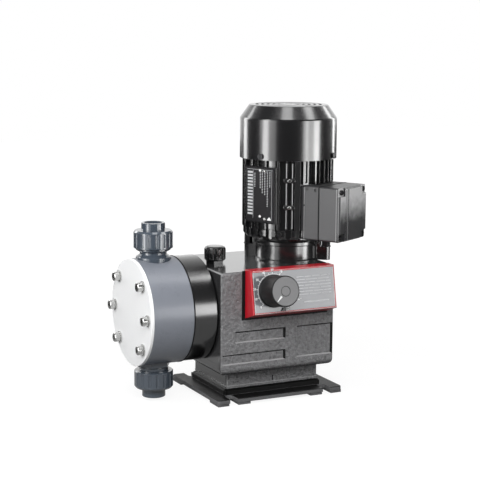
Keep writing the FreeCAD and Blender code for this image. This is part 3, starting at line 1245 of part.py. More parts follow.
def terminal_box():
    half = BOX_SIDE / 2
    body = box(BOX_BACK, BOX_SEAM, -half, half, BOX_Z0, BOX_Z1)
    along = [e for e in body.Edges if abs(e.tangentAt(0).x) > 0.9]
    body = body.makeFillet(BOX_WALL, along)
    w = BOX_WALL
    body = body.cut(box(BOX_FLOOR, BOX_SEAM + 1, -half + w, half - w, BOX_Z0 + w, BOX_Z1 - w))
    posts = [cyl_x(LID_POST_R, BOX_FLOOR - 1, BOX_SEAM, y, z) for y, z in lid_corners()]
    tools = [cyl_x(LID_SCREW_R, BOX_FLOOR + 1, BOX_SEAM + 1, y, z) for y, z in lid_corners()]
    tools.append(cyl_x(BOX_WIRE_R, BOX_BACK, BOX_FLOOR + 1, 0, BOX_MID_Z))
    tools.append(cyl(FRAME_R + SEAT_GAP, BOX_Z0 - 1, BOX_Z1 + 1))
    tools.append(cyl(SHIELD_R + TOUCH_GAP, BOX_Z0 - 1, FRAME_Z0 + TOUCH_GAP))
    tools.append(cyl_y(GLAND_NECK_R + SEAT_GAP, half - w - 1, half + 1, gland_u(), BOX_MID_Z))
    tools.append(cyl_y(BOX_HOLE_R, -half - 1, -half + w - 0.8, BOX_SEAM - 5.6, BOX_Z1 - 4.8))
    return about_motor(cut(fuse([body] + posts), tools), BOX_ANGLE)


def lid_corners():
    reach_v = (BOX_SIDE - LID_CORNER_W) / 2
    reach_z = (BOX_SIDE - LID_CORNER_H) / 2
    return [(v, BOX_MID_Z + z) for v in (-reach_v, reach_v) for z in (-reach_z, reach_z)]


def lid_bevels(face):
    # Wedges that cut the lid's four front edges to a slope
    half, out, back = BOX_SIDE / 2 + 1, face + 1, face - LID_CHAMFER - 1
    inner = BOX_SIDE / 2 - LID_CHAMFER - 1
    wedges = []
    for side in (-1, 1):
        wedges.append(prism([(back, side * half, BOX_Z0 - 1), (out, side * inner, BOX_Z0 - 1),
                             (out, side * half, BOX_Z0 - 1)], V(0, 0, BOX_SIDE + 2)))
        wedges.append(prism([(back, -half, BOX_MID_Z + side * half), (out, -half, BOX_MID_Z + side * inner),
                             (out, -half, BOX_MID_Z + side * half)], V(0, 2 * half, 0)))
    return wedges


def terminal_lid():
    half = BOX_SIDE / 2
    u0, face = BOX_SEAM + SEAT_GAP, BOX_FACE - LID_RAISE
    body = box(u0, face, -half, half, BOX_Z0, BOX_Z1)
    body = body.makeFillet(BOX_WALL, [e for e in body.Edges if abs(e.tangentAt(0).x) > 0.9])
    body = cut(body, lid_bevels(face))
    w = BOX_WALL
    body = body.cut(box(u0 - 1, face - LID_STEP - w, -half + w, half - w, BOX_Z0 + w, BOX_Z1 - w))
    posts = [cyl_x(LID_POST_R, u0, face - LID_STEP, y, z) for y, z in lid_corners()]
    v0, v1 = LID_PANEL_V
    z0, z1 = BOX_Z0 + LID_CHAMFER + LID_MARGIN, BOX_Z1 - LID_CHAMFER - LID_MARGIN
    panel = box(face - 1, BOX_FACE, v0, v1, z0, z1)
    ridge = box(face - 1, BOX_FACE - LID_RAISE / 3, LID_RIDGE_V - 1, LID_RIDGE_V + 1, z0, z1)
    tools = [cyl_x(LID_SCREW_R + 0.4, u0 - 1, face + 1, y, z) for y, z in lid_corners()]
    for v, z in lid_corners():
        y0, y1 = sorted((math.copysign(half - LID_CORNER_W, v), math.copysign(half + 1, v)))
        rise = z - BOX_MID_Z
        za, zb = sorted((math.copysign(half - LID_CORNER_H, rise), math.copysign(half + 1, rise)))
        tools.append(box(face - LID_STEP, face + 1, y0, y1, BOX_MID_Z + za, BOX_MID_Z + zb))
    return about_motor(cut(fuse([body, panel, ridge] + posts), tools), BOX_ANGLE)


def lid_screws():
    screws = []
    u = BOX_FACE - LID_RAISE - LID_STEP
    r = LID_HEAD_R
    for y, z in lid_corners():
        shank = cyl_x(LID_SCREW_R - SEAT_GAP, BOX_SEAM - 9, u + 1, y, z)
        head = cyl_x(r, u + SEAT_GAP, u + 2.4, y, z)
        cross = [box(u + 1.2, u + 4, y - 0.5, y + 0.5, z - r * 0.66, z + r * 0.66),
                 box(u + 1.2, u + 4, y - r * 0.66, y + r * 0.66, z - 0.5, z + 0.5)]
        screws.append(about_motor(cut(shank.fuse(head), cross), BOX_ANGLE))
    return group(screws)


def terminal_block():
    # Above the hole that the motor's wires come through
    u = BOX_FLOOR + SEAT_GAP
    z0 = BOX_MID_Z + BOX_WIRE_R + 1
    z1 = z0 + BLOCK_H
    base = box(u, u + BLOCK_T, -BLOCK_W / 2, BLOCK_W / 2, z0, z1)
    studs = [cyl_x(BLOCK_STUD_R, u + BLOCK_T - 1, u + BLOCK_T * 2, v, z)
             for v in (-BLOCK_W / 3, 0, BLOCK_W / 3) for z in (z0 + BLOCK_H / 4, z1 - BLOCK_H / 4)]
    return about_motor(fuse([base] + studs), BOX_ANGLE)


def gland_u():
    return (BOX_FLOOR + BOX_SEAM) / 2


def gland_hexagon(v0, v1):
    # A hexagon along Y at the gland's place
    across = hexagon(GLAND_R * 2 - 1, 0, v1 - v0)
    across.rotate(ORIGIN, X_AXIS, -90)
    return across.translated(V(gland_u(), v0, BOX_MID_Z))


def cable_gland():
    # On the side of the box that faces away from the panel
    half, u, z = BOX_SIDE / 2, gland_u(), BOX_MID_Z
    end = half + GLAND_L
    neck = cyl_y(GLAND_NECK_R, half - BOX_WALL - 4, end - 1, u, z)
    nut = gland_hexagon(half + SEAT_GAP, half + GLAND_L * 0.4)
    dome = revolved([(0, half + 1, 0), (GLAND_R - 1, half + 1, 0), (GLAND_R - 1, end - 3, 0),
                     (GLAND_R - 4, end, 0), (0, end, 0)], ORIGIN, Y_AXIS).translated(V(u, 0, z))
    lock = cyl_y(GLAND_NECK_R + 0.6, half - BOX_WALL - 4, half - BOX_WALL - SEAT_GAP, u, z)
    return about_motor(fuse([neck, nut, dome, lock]), BOX_ANGLE)


SHAPES = {
    "base_plate": base_plate, "gear_housing": gear_housing, "rear_cover": rear_cover,
    "rear_screws": rear_screws, "drain_plug": drain_plug, "filler_cap": filler_cap,
    "head_flange": head_flange, "dosing_head": dosing_head, "end_plate": end_plate,
    "head_bolts": head_bolts, "head_washers": head_washers, "diaphragm": diaphragm,
    "diaphragm_core": diaphragm_core, "guide_bush": guide_bush, "rod_seal": rod_seal,
    "push_rod": push_rod, "return_spring": return_spring, "worm": worm, "worm_wheel": worm_wheel,
    "eccentric_shaft": eccentric_shaft, "shaft_bearings": shaft_bearings,
    "wheel_bearings": wheel_bearings, "panel_bezel": panel_bezel, "faceplate": faceplate,
    "knob": knob, "knob_face": knob_face, "stroke_spindle": stroke_spindle,
    "spindle_bush": spindle_bush, "motor_lantern": motor_lantern, "motor_studs": motor_studs,
    "end_shield": end_shield, "shield_screws": shield_screws, "motor_frame": motor_frame,
    "nameplate": nameplate, "nameplate_rivets": nameplate_rivets, "stator_core": stator_core,
    "stator_windings": stator_windings, "rotor_core": rotor_core, "motor_shaft": motor_shaft,
    "fan_shield": fan_shield, "fan_cover": fan_cover, "fan_cover_screws": fan_cover_screws,
    "fan": fan, "terminal_box": terminal_box, "terminal_lid": terminal_lid,
    "lid_screws": lid_screws, "terminal_block": terminal_block, "cable_gland": cable_gland,
}
VALVE_SHAPES = {"body": valve_body, "seat": valve_seat, "ball": valve_ball, "seal": valve_seal,
                "nut": valve_nut, "insert": valve_insert}

os.makedirs("parts", exist_ok=True)
for name, make in SHAPES.items():
    make().exportStep("parts/%s.step" % name)
for end, side in (("discharge", 1), ("suction", -1)):
    for name, make in VALVE_SHAPES.items():
        make(side).exportStep("parts/%s_%s.step" % (end, name))
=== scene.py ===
import bpy
import bmesh
import json
import math
import random
from mathutils import Matrix, Vector


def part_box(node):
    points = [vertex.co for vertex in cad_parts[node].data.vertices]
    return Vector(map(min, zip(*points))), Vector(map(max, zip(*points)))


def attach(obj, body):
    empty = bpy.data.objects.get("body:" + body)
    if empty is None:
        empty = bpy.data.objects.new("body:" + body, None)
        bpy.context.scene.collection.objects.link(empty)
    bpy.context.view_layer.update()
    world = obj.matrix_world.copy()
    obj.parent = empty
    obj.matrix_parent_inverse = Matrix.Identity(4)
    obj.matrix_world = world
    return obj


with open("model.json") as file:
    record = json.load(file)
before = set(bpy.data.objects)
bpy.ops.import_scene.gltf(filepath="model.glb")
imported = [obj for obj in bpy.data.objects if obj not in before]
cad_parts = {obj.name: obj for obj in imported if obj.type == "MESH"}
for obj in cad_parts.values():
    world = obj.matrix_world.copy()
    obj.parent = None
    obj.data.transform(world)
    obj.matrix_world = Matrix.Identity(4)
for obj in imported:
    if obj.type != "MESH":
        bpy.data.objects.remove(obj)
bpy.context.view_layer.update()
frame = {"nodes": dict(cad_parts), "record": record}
NODES = frame["nodes"]
MM = 0.001


# Node maths: a Wire is one value, colour, vector or shape on a bench of nodes

class Wire:
    def __init__(self, bench, socket):
        self.bench = bench
        self.socket = socket

    def maths(self, operation, *others):
        inputs = {0: self}
        inputs.update({i + 1: o for i, o in enumerate(others)})
        return self.bench.node("ShaderNodeMath", inputs, operation=operation)

    def flipped(self, operation, other):
        return self.bench.node("ShaderNodeMath", {0: other, 1: self}, operation=operation)

    def __add__(self, other):
        return self.maths("ADD", other)

    def __radd__(self, other):
        return self.flipped("ADD", other)

    def __sub__(self, other):
        return self.maths("SUBTRACT", other)

    def __rsub__(self, other):
        return self.flipped("SUBTRACT", other)

    def __mul__(self, other):
        return self.maths("MULTIPLY", other)

    def __rmul__(self, other):
        return self.flipped("MULTIPLY", other)

    def __truediv__(self, other):
        return self.maths("DIVIDE", other)


class Bench:
    """Any node tree: node() adds a node with its settings and what feeds its sockets."""

    def __init__(self, tree):
        self.tree = tree
        self.tree.nodes.clear()

    def node(self, kind, inputs=None, output=0, **settings):
        made = self.tree.nodes.new(kind)
        for key, value in settings.items():
            setattr(made, key, value)
        for key, value in (inputs or {}).items():
            self.feed(made.inputs[key], value)
        return Wire(self, made.outputs[output])

    def feed(self, socket, value):
        if isinstance(value, Wire):
            self.tree.links.new(value.socket, socket)
        else:
            socket.default_value = value


class Finish(Bench):
    """One material: its nodes, its place on the object and its shader."""

    def __init__(self, name, **constants):
        self.material = bpy.data.materials.new(name)
        self.material.use_nodes = True
        super().__init__(self.material.node_tree)
        self.out = self.tree.nodes.new("ShaderNodeOutputMaterial")
        self.shader = self.tree.nodes.new("ShaderNodeBsdfPrincipled")
        self.tree.links.new(self.shader.outputs[0], self.out.inputs[0])
        for socket, value in constants.items():
            self.shader.inputs[socket.replace("_", " ")].default_value = value

    def set(self, socket, value):
        self.feed(self.shader.inputs[socket], value)
        return self

    def place(self, scale=(1, 1, 1), turn=(0, 0, 0), centre=(0, 0, 0)):
        spot = self.node("ShaderNodeTexCoord", output="Object")
        moved = self.node("ShaderNodeVectorMath", {0: spot, 1: centre}, operation="SUBTRACT")
        return self.node("ShaderNodeMapping", {"Vector": moved, "Rotation": turn, "Scale": scale},
                         vector_type="POINT")

    def noise(self, size, detail=3.0, spot=None, roughness=0.55):
        # Grain with features about size metres across
        return self.node("ShaderNodeTexNoise", {"Vector": spot or self.place(), "Scale": 1 / size,
                                                "Detail": detail, "Roughness": roughness})

    def fade(self, value, low, high, to_low=0.0, to_high=1.0):
        return self.node("ShaderNodeMapRange", {"Value": value, "From Min": low, "From Max": high,
                                                "To Min": to_low, "To Max": to_high}, clamp=True)

    def blend(self, share, first, second):
        # Mixes two colours
        return self.node("ShaderNodeMix", {0: share, 6: first, 7: second}, output=2, data_type="RGBA")

    def bump(self, height, depth, strength=1.0, soft=0.0):
        inputs = {"Height": height, "Distance": depth, "Strength": strength}
        if soft:
            inputs["Normal"] = self.node("ShaderNodeBevel", {"Radius": soft}, samples=4)
        return self.set("Normal", self.node("ShaderNodeBump", inputs))


def rgb(r, g, b):
    return (r, g, b, 1.0)


def grained(name, colour, spread=0.12, grain=0.0006, depth=0.00002, rough=(0.3, 0.4), patch=0.02,
            soft=0.0004, **constants):
    """Paint, plastic or metal with slow colour and gloss variation and a fine grain."""
    f = Finish(name, **constants)
    slow = f.noise(patch, 4.0)
    fine = f.noise(grain, 2.0)
    lighter = rgb(*[min(1.0, c * (1 + spread)) for c in colour])
    darker = rgb(*[c * (1 - spread) for c in colour])
    f.set("Base Color", f.blend(slow * 0.6 + fine * 0.4, darker, lighter))
    f.set("Roughness", f.fade(slow * 0.7 + fine * 0.3, 0.3, 0.7, *rough))
    f.bump(fine, depth, 1.0, soft)
    return f


def brushed(name, colour, axis, rough=(0.2, 0.38), depth=0.00001, **constants):
    """Machined metal: fine lines across the given axis of turning."""
    f = Finish(name, Metallic=1.0, **constants)
    stretch = [25.0, 25.0, 25.0]
    stretch[axis] = 2500.0
    lines = f.node("ShaderNodeTexNoise", {"Vector": f.place(scale=stretch), "Scale": 1.0, "Detail": 3.0})
    slow = f.noise(0.012, 3.0)
    f.set("Base Color", f.blend(slow, rgb(*[c * 0.85 for c in colour]), rgb(*colour)))
    f.set("Roughness", f.fade(lines * 0.6 + slow * 0.4, 0.3, 0.7, *rough))
    f.bump(lines, depth, 0.6, 0.0003)
    return f


def gloss_black():
    return grained("gloss_black_paint", (0.006, 0.006, 0.0065), 0.2, grain=0.0012, depth=0.000007,
                   rough=(0.18, 0.26), patch=0.03, soft=0.0011, Coat_Weight=1.0, Coat_Roughness=0.16,
                   Specular_IOR_Level=0.8)


def base_black():
    """The base plate's dull black coat with painted light and shade: its upright faces below 9.2 mm painted a
    paler grey as a painted sheen, its upward faces black, and everything above 9.2 mm painted black as
    painted shade on the step under the plinth.
    """
    f = Finish("satin_black_paint", Specular_IOR_Level=0.12)
    normal = f.node("ShaderNodeNewGeometry", output="Normal")
    upward = f.node("ShaderNodeSeparateXYZ", {0: normal}, output=2)
    height = f.node("ShaderNodeSeparateXYZ", {0: f.place()}, output=2)
    # black for upward faces, and painted shade that turns everything above 9.2 mm black
    dark = f.fade(upward, 0.2, 0.8).maths("MAXIMUM", f.fade(height, 0.0091, 0.0096))
    slow = f.noise(0.02, 4.0)
    fine = f.noise(0.002, 2.0)
    grain = slow * 0.4 + fine * 0.6
    flat = f.blend(grain, rgb(0.002, 0.002, 0.002), rgb(0.006, 0.006, 0.006))
    # painted sheen: the paler grey on upright faces below 9.2 mm
    upright = f.blend(grain, rgb(0.09, 0.09, 0.092), rgb(0.16, 0.16, 0.164))
    f.set("Base Color", f.blend(dark, upright, flat))
    f.set("Roughness", f.fade(grain, 0.3, 0.7, 0.28, 0.42))
    f.bump(fine, 0.00005, 1.0, 0.0006)
    return f


def casting_grey():
    """Leather-like texture paint on the walls; a less textured, darker coat on the top; the left face behind
    the head is also less textured and painted dark as the painted shadow of the head's flange, and a painted
    shadow lies across the plinth's top and the housing's rounded foot.
    """
    f = Finish("textured_charcoal", Coat_Roughness=0.16)
    normal = f.node("ShaderNodeNewGeometry", output="Normal")
    east, upward = (f.node("ShaderNodeSeparateXYZ", {0: normal}, output=i) for i in (0, 2))
    # the top faces, and the left face behind the head, where this dark colour is painted shadow of the head's
    # flange
    top = f.fade(upward, 0.75, 0.95).maths("MAXIMUM", f.fade(east, -0.7, -0.95))
    height = f.node("ShaderNodeSeparateXYZ", {0: f.place()}, output=2)
    # painted shadow: darker from 31 mm up to 44.5 mm and fading out by 51.5 mm, over the plinth under the
    # overhang and the rounded foot
    painted_shadow = f.fade(height, 0.031, 0.041) * f.fade(height, 0.0515, 0.0445)
    fine = f.noise(0.0009, 3.0)
    coarse = f.noise(0.0045, 2.0)
    slow = f.noise(0.05, 3.0)
    grain = f.fade(coarse * 0.7 + fine * 0.3, 0.3, 0.7) * 0.8 + slow * 0.2
    walls = f.blend(grain, rgb(0.088, 0.088, 0.091), rgb(0.232, 0.232, 0.238))
    dark_coat_and_shade = f.blend(grain, rgb(0.018, 0.018, 0.019), rgb(0.028, 0.028, 0.029))
    f.set("Base Color", f.blend(top.maths("MAXIMUM", painted_shadow * 0.96), walls, dark_coat_and_shade))
    f.set("Roughness", f.fade(coarse, 0.3, 0.7, 0.26, 0.48) * f.fade(top, 0.0, 1.0, 1.0, 0.4))
    f.set("Coat Weight", f.fade(top, 0.0, 1.0, 0.3, 1.0))
    f.bump((fine * 0.3 + coarse) * f.fade(top, 0.0, 1.0, 1.0, 0.012), 0.003, 1.0, 0.0006)
    return f


def lid_grey():
    """The terminal box's lid, with painted light on the upper part of its front face."""
    f = Finish("terminal_lid_grey", Coat_Weight=0.15, Coat_Roughness=0.2)
    normal = f.node("ShaderNodeNewGeometry", output="Normal")
    out = f.node("ShaderNodeVectorMath", {0: normal, 1: (0.4985, -0.8669, 0.0)}, output="Value",
                 operation="DOT_PRODUCT")
    height = f.node("ShaderNodeSeparateXYZ", {0: f.place()}, output=2)
    slow = f.noise(0.012, 4.0)
    fine = f.noise(0.0016, 2.0)
    # painted light: the front face goes pale towards its top
    pale = f.fade(out, 0.8, 0.95) * f.fade(height + slow * 0.03, 0.264, 0.3)
    plain = f.blend(slow * 0.5 + fine * 0.5, rgb(0.024, 0.024, 0.026), rgb(0.038, 0.038, 0.04))
    f.set("Base Color", f.blend(pale, plain, rgb(0.66, 0.66, 0.665)))
    f.set("Roughness", f.fade(slow * 0.5 + fine * 0.5, 0.3, 0.7, 0.3, 0.45))
    f.bump(fine, 0.0002, 1.0, 0.0013)
    return f


def turned_pvc(name, colour, axis_z, rough=(0.24, 0.36)):
    """Plastic turned on a lathe: rings about the pump axis at height axis_z."""
    f = Finish(name, Coat_Weight=0.15, Coat_Roughness=0.2)
    spot = f.place(centre=(0, 0, axis_z))
    x, y, z = (f.node("ShaderNodeSeparateXYZ", {0: spot}, output=i) for i in range(3))
    radius = (y * y + z * z).maths("SQRT")
    rings = ((radius + x) * 5200.0).maths("SINE")
    slow = f.noise(0.03, 3.0)
    fine = f.noise(0.0008, 2.0)
    f.set("Base Color", f.blend(slow * 0.7 + fine * 0.3, rgb(*[c * 0.92 for c in colour]),
                                rgb(*[min(1, c * 1.08) for c in colour])))
    f.set("Roughness", f.fade(slow * 0.5 + fine * 0.5, 0.3, 0.7, *rough))
    f.bump(rings * 0.4 + fine * 0.6, 0.000012, 0.7, 0.0005)
    return f


def turned_black():
    """Gloss black over a turned surface: faint rings that run round the flange."""
    f = turned_pvc("turned_black", (0.006, 0.006, 0.0065), 0.1271, rough=(0.16, 0.24))
    f.shader.inputs["Coat Weight"].default_value = 1.0
    f.shader.inputs["Specular IOR Level"].default_value = 0.8
    return f


def slot_finishes():
    """One finish for each material slot of the record."""
    return {
        "gloss_black": gloss_black(),
        "grey_casting": casting_grey(),
        "pvc_grey": turned_pvc("head_pvc", (0.18, 0.193, 0.222), 0.1271),
        "pvc_dark": grained("valve_pvc", (0.055, 0.068, 0.086), 0.1, grain=0.0008, depth=0.00001,
                            rough=(0.14, 0.22), soft=0.0009, Coat_Weight=1.0, Coat_Roughness=0.1),
        "pale_plate": grained("pale_plate", (0.9, 0.905, 0.91), 0.02, grain=0.0005, depth=0.000006,
                              rough=(0.35, 0.45), Metallic=0.05),
        "blackened": brushed("blackened_screw", (0.06, 0.06, 0.062), 2, rough=(0.25, 0.4)),
        "stainless": brushed("stainless", (0.62, 0.62, 0.61), 0, rough=(0.18, 0.34)),
        "black_plastic": grained("satin_black", (0.017, 0.017, 0.018), 0.2, rough=(0.3, 0.42)),
        "knob_grey": grained("knob_face_grey", (0.132, 0.132, 0.135), 0.1, grain=0.0004, depth=0.000015,
                             rough=(0.4, 0.5)),
        "red_bezel": grained("deep_red", (0.42, 0.008, 0.018), 0.14, grain=0.0007, depth=0.00001,
                             rough=(0.28, 0.38), Coat_Weight=0.2, Coat_Roughness=0.15),
        "faceplate_grey": grained("printed_foil", (0.115, 0.12, 0.13), 0.05, grain=0.0005, depth=0.000004,
                                  rough=(0.3, 0.4), Coat_Weight=1.0, Coat_Roughness=0.07),
        "box_grey": lid_grey(),
        "plate_dark": grained("dark_plate", (0.013, 0.012, 0.014), 0.15, grain=0.0006, depth=0.000006,
                              rough=(0.3, 0.42), Metallic=0.3),
        # also used as painted shade: on the upper recess flanks and as the sheet behind the panel
        "rubber_black": grained("rubber", (0.008, 0.008, 0.008), 0.2, rough=(0.6, 0.75),
                                Specular_IOR_Level=0.12),
        "steel": brushed("machined_steel", (0.52, 0.52, 0.53), 1),
        "bronze": brushed("bronze", (0.6, 0.4, 0.18), 1),
        "cast_shield": grained("bare_casting", (0.42, 0.42, 0.43), 0.1, grain=0.001, depth=0.00006,
                               rough=(0.45, 0.6), Metallic=0.8),
        "copper": brushed("copper_windings", (0.6, 0.28, 0.12), 2, rough=(0.3, 0.45)),
        "ball_glass": grained("ceramic", (0.74, 0.73, 0.7), 0.03, rough=(0.12, 0.2)),
        "seat_white": grained("seat_plastic", (0.78, 0.78, 0.75), 0.03, rough=(0.3, 0.4)),
    }


FINISHES = slot_finishes()
BASE_FINISH = base_black()
CAP_FINISH = grained("cap_black", (0.006, 0.006, 0.0065), 0.2, grain=0.0008, depth=0.000008,
                     rough=(0.14, 0.22), soft=0.001, Coat_Weight=1.0, Coat_Roughness=0.12)
KNOB_SIDE = grained("knob_black", (0.007, 0.007, 0.0075), 0.2, rough=(0.42, 0.5), Specular_IOR_Level=0.3)
# pale grey strips that stand for painted highlights along edges
PAINTED_HIGHLIGHT = grained("painted_highlight_grey", (0.3, 0.3, 0.305), 0.25, grain=0.0012, depth=0.00003, rough=(0.3, 0.45))
# the box base's black painted lighter than the lid's: painted light on that side of the box
BOX_BASE_PAINTED_LIGHTER = grained("box_base_grey", (0.045, 0.045, 0.047), 0.2, grain=0.0016, depth=0.0002,
                   rough=(0.34, 0.46), soft=0.0013)
NODE_FINISHES = {
    "base_plate": BASE_FINISH, "filler_cap": CAP_FINISH, "knob": KNOB_SIDE, "terminal_box": BOX_BASE_PAINTED_LIGHTER,
    "head_flange": turned_black(),
}


def dress_frame():
    for part in frame["record"]["subparts"]:
        mesh = NODES[part["node"]].data
        mesh.materials.clear()
        mesh.materials.append(NODE_FINISHES.get(part["node"], FINISHES[part["material_slot"]]).material)


# Places: a matrix takes a local plane (right, up, out) in millimetres to the frame in metres

def plane(origin, right, up):
    right, up = Vector(right).normalized(), Vector(up).normalized()
    turn = Matrix((right, up, right.cross(up))).transposed().to_4x4()
    return Matrix.Scale(MM, 4) @ Matrix.Translation(origin) @ turn


PANEL_TILT = math.radians(10.0245)
DIAL = plane((-25.3, -102.126, 162.0), (1, 0, 0), (0, math.sin(PANEL_TILT), math.cos(PANEL_TILT)))
MOTOR_X = 49.0


def motor_plane(angle, radius, z):
    """A plane that touches the motor at that angle, looking outwards."""
    c, s = math.cos(math.radians(angle)), math.sin(math.radians(angle))
    return plane((MOTOR_X + radius * c, radius * s, z), (-s, c, 0), (0, 0, 1))


# Shapes

class Mould:
    """Closed shapes on a local plane in millimetres, collected in one mesh."""

    def __init__(self):
        self.mesh = bmesh.new()

    def slab(self, outline, low, high):
        # outline runs anticlockwise as seen from outside
        under = [self.mesh.verts.new((x, y, low)) for x, y in outline]
        over = [self.mesh.verts.new((x, y, high)) for x, y in outline]
        self.mesh.faces.new(over)
        self.mesh.faces.new(under[::-1])
        for i in range(len(outline)):
            j = (i + 1) % len(outline)
            self.mesh.faces.new((under[i], under[j], over[j], over[i]))
        return self

    def bar(self, x0, x1, y0, y1, low, high):
        return self.slab([(x0, y0), (x1, y0), (x1, y1), (x0, y1)], low, high)

    def disc(self, x, y, radius, low, high, sides=24):
        turns = [math.tau * i / sides for i in range(sides)]
        return self.slab([(x + radius * math.cos(t), y + radius * math.sin(t)) for t in turns], low, high)

    def arc(self, inner, outer, start, end, low, high, steps=48):
        # A flat band from start to end degrees, anticlockwise
        turns = [math.radians(start + (end - start) * i / steps) for i in range(steps + 1)]
        rings = [[self.mesh.verts.new((r * math.cos(t), r * math.sin(t), z)) for t in turns]
                 for r, z in ((inner, low), (outer, low), (outer, high), (inner, high))]
        for i in range(steps):
            for k in range(4):
                a, b = rings[k], rings[(k + 1) % 4]
                self.mesh.faces.new((a[i], b[i], b[i + 1], a[i + 1]))
        self.mesh.faces.new([ring[0] for ring in rings][::-1])
        self.mesh.faces.new([ring[-1] for ring in rings])
        return self

    def turned(self, profile, sides=32, x=0.0, y=0.0):
        # profile: (radius, out) from the foot up the outside to the top, closed on the axis
        foot = self.mesh.verts.new((x, y, profile[0][1]))
        head = self.mesh.verts.new((x, y, profile[-1][1]))
        rings = []
        for r, z in profile:
            turns = [math.tau * i / sides for i in range(sides)]
            rings.append([self.mesh.verts.new((x + r * math.cos(t), y + r * math.sin(t), z)) for t in turns])
        for i in range(sides):
            j = (i + 1) % sides
            self.mesh.faces.new((foot, rings[0][j], rings[0][i]))
            self.mesh.faces.new((head, rings[-1][i], rings[-1][j]))
            for a, b in zip(rings, rings[1:]):
                self.mesh.faces.new((a[i], a[j], b[j], b[i]))
        return self

    def data(self, name):
        bmesh.ops.recalc_face_normals(self.mesh, faces=self.mesh.faces)
        made = bpy.data.meshes.new(name)
        self.mesh.to_mesh(made)
        self.mesh.free()
        return made


def spread(name, shape, count, step=(0.0, 0.0), radius=0.0, start=0.0, sweep=0.0):
    """Copies of one shape in a row (step) or round a circle (radius, start and sweep in degrees)."""
    group = bpy.data.node_groups.new(name + "_rule", "GeometryNodeTree")
    faces = group.interface
    faces.new_socket("Shape", in_out="INPUT", socket_type="NodeSocketGeometry")
    faces.new_socket("Copies", in_out="OUTPUT", socket_type="NodeSocketGeometry")
    sizes = {"Step Right": step[0], "Step Up": step[1], "Radius": radius, "Start": math.radians(start),
             "Turn": math.radians(sweep) / max(1, count - 1)}
    number = faces.new_socket("Count", in_out="INPUT", socket_type="NodeSocketInt")
    sockets = {key: faces.new_socket(key, in_out="INPUT", socket_type="NodeSocketFloat") for key in sizes}
    bench = Bench(group)
    given = group.nodes.new("NodeGroupInput")
    value = {key: Wire(bench, given.outputs[key]) for key in ["Shape", "Count"] + list(sizes)}
    index = bench.node("GeometryNodeInputIndex")
    turn = value["Start"] + index * value["Turn"]
    right = turn.maths("COSINE") * value["Radius"] + index * value["Step Right"]
    up = turn.maths("SINE") * value["Radius"] + index * value["Step Up"]
    spots = bench.node("ShaderNodeCombineXYZ", {0: right, 1: up})
    points = bench.node("GeometryNodePoints", {"Count": value["Count"], "Position": spots})
    copies = bench.node("GeometryNodeInstanceOnPoints", {
        "Points": points, "Instance": value["Shape"],
        "Rotation": bench.node("ShaderNodeCombineXYZ", {2: turn})})
    solid = bench.node("GeometryNodeRealizeInstances", {0: copies})
    painted = bench.node("GeometryNodeSetMaterial", {0: solid, "Material": FINISHES["gloss_black"].material})
    end = group.nodes.new("NodeGroupOutput")
    bench.feed(end.inputs[0], painted)
    carrier = bpy.data.objects.new(name + "_carrier", shape)
    bpy.context.scene.collection.objects.link(carrier)
    rule = carrier.modifiers.new("rule", "NODES")
    rule.node_group = group
    rule[number.identifier] = count
    for key, size in sizes.items():
        rule[sockets[key].identifier] = size
    bpy.context.view_layer.update()
    made = bpy.data.meshes.new_from_object(carrier.evaluated_get(bpy.context.evaluated_depsgraph_get()))
    carrier.modifiers.remove(rule)
    bpy.data.objects.remove(carrier)
    made.name = name
    return made


def joined(name, meshes):
    """One mesh from several."""
    whole = bmesh.new()
    for mesh in meshes:
        whole.from_mesh(mesh)
    made = bpy.data.meshes.new(name)
    whole.to_mesh(made)
    whole.free()
    return made


def piece(name, mesh, place, finish, body="pump", edge=0.0):
    """Puts a mesh in its place on a body, with its finish and a rounded edge in millimetres."""
    mesh.transform(place)
    mesh.materials.clear()
    mesh.materials.append(finish.material)
    obj = bpy.data.objects.new(name, mesh)
    bpy.context.scene.collection.objects.link(obj)
    if edge:
        soft = obj.modifiers.new("edge", "BEVEL")
        soft.width = edge * MM
        soft.segments = 2
        soft.limit_method = "ANGLE"
    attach(obj, body)
    return obj


# The stroke dial: figures and marks on the plate, a pointer on the knob

PRINT = (0.38, 0.47)          # the printed marks stand a little out of the plate
SCALE_START, SCALE_SWEEP = 225.0, 270.0
FIGURE_R, FIGURE_HEIGHT = 29.2, 4.4
KNOB_TOP = 36.8
# white print, also used as painted highlight on the plate's edge; black print, also used as painted shade in
# the knob's groove and the box's holes
WHITE_INK_AND_HIGHLIGHT = grained("white_ink_and_highlight", (0.78, 0.78, 0.78), 0.04, rough=(0.4, 0.5))
BLACK_INK_AND_SHADE = grained("black_ink_and_shade", (0.01, 0.01, 0.01), 0.1, rough=(0.35, 0.45))
PALE_INK = grained("pale_ink", (0.5, 0.51, 0.52), 0.05, rough=(0.4, 0.5))


def dial_angle(stroke):
    # 0 at the lower left, 100 at the lower right, clockwise
    return SCALE_START - SCALE_SWEEP * stroke / 100.0


def figure(text, x, y, height):
    """A number as a flat closed mesh centred on a point."""
    curve = bpy.data.curves.new("figure", "FONT")
    curve.body = text
    curve.size = height
    curve.align_x = "CENTER"
    curve.align_y = "CENTER"
    curve.extrude = (PRINT[1] - PRINT[0]) / 2
    curve.offset = 0.035 * height
    holder = bpy.data.objects.new("figure", curve)
    bpy.context.scene.collection.objects.link(holder)
    bpy.context.view_layer.update()
    mesh = bpy.data.meshes.new_from_object(holder.evaluated_get(bpy.context.evaluated_depsgraph_get()))
    bpy.data.objects.remove(holder)
    mesh.transform(Matrix.Translation((x, y, sum(PRINT) / 2)))
    return mesh


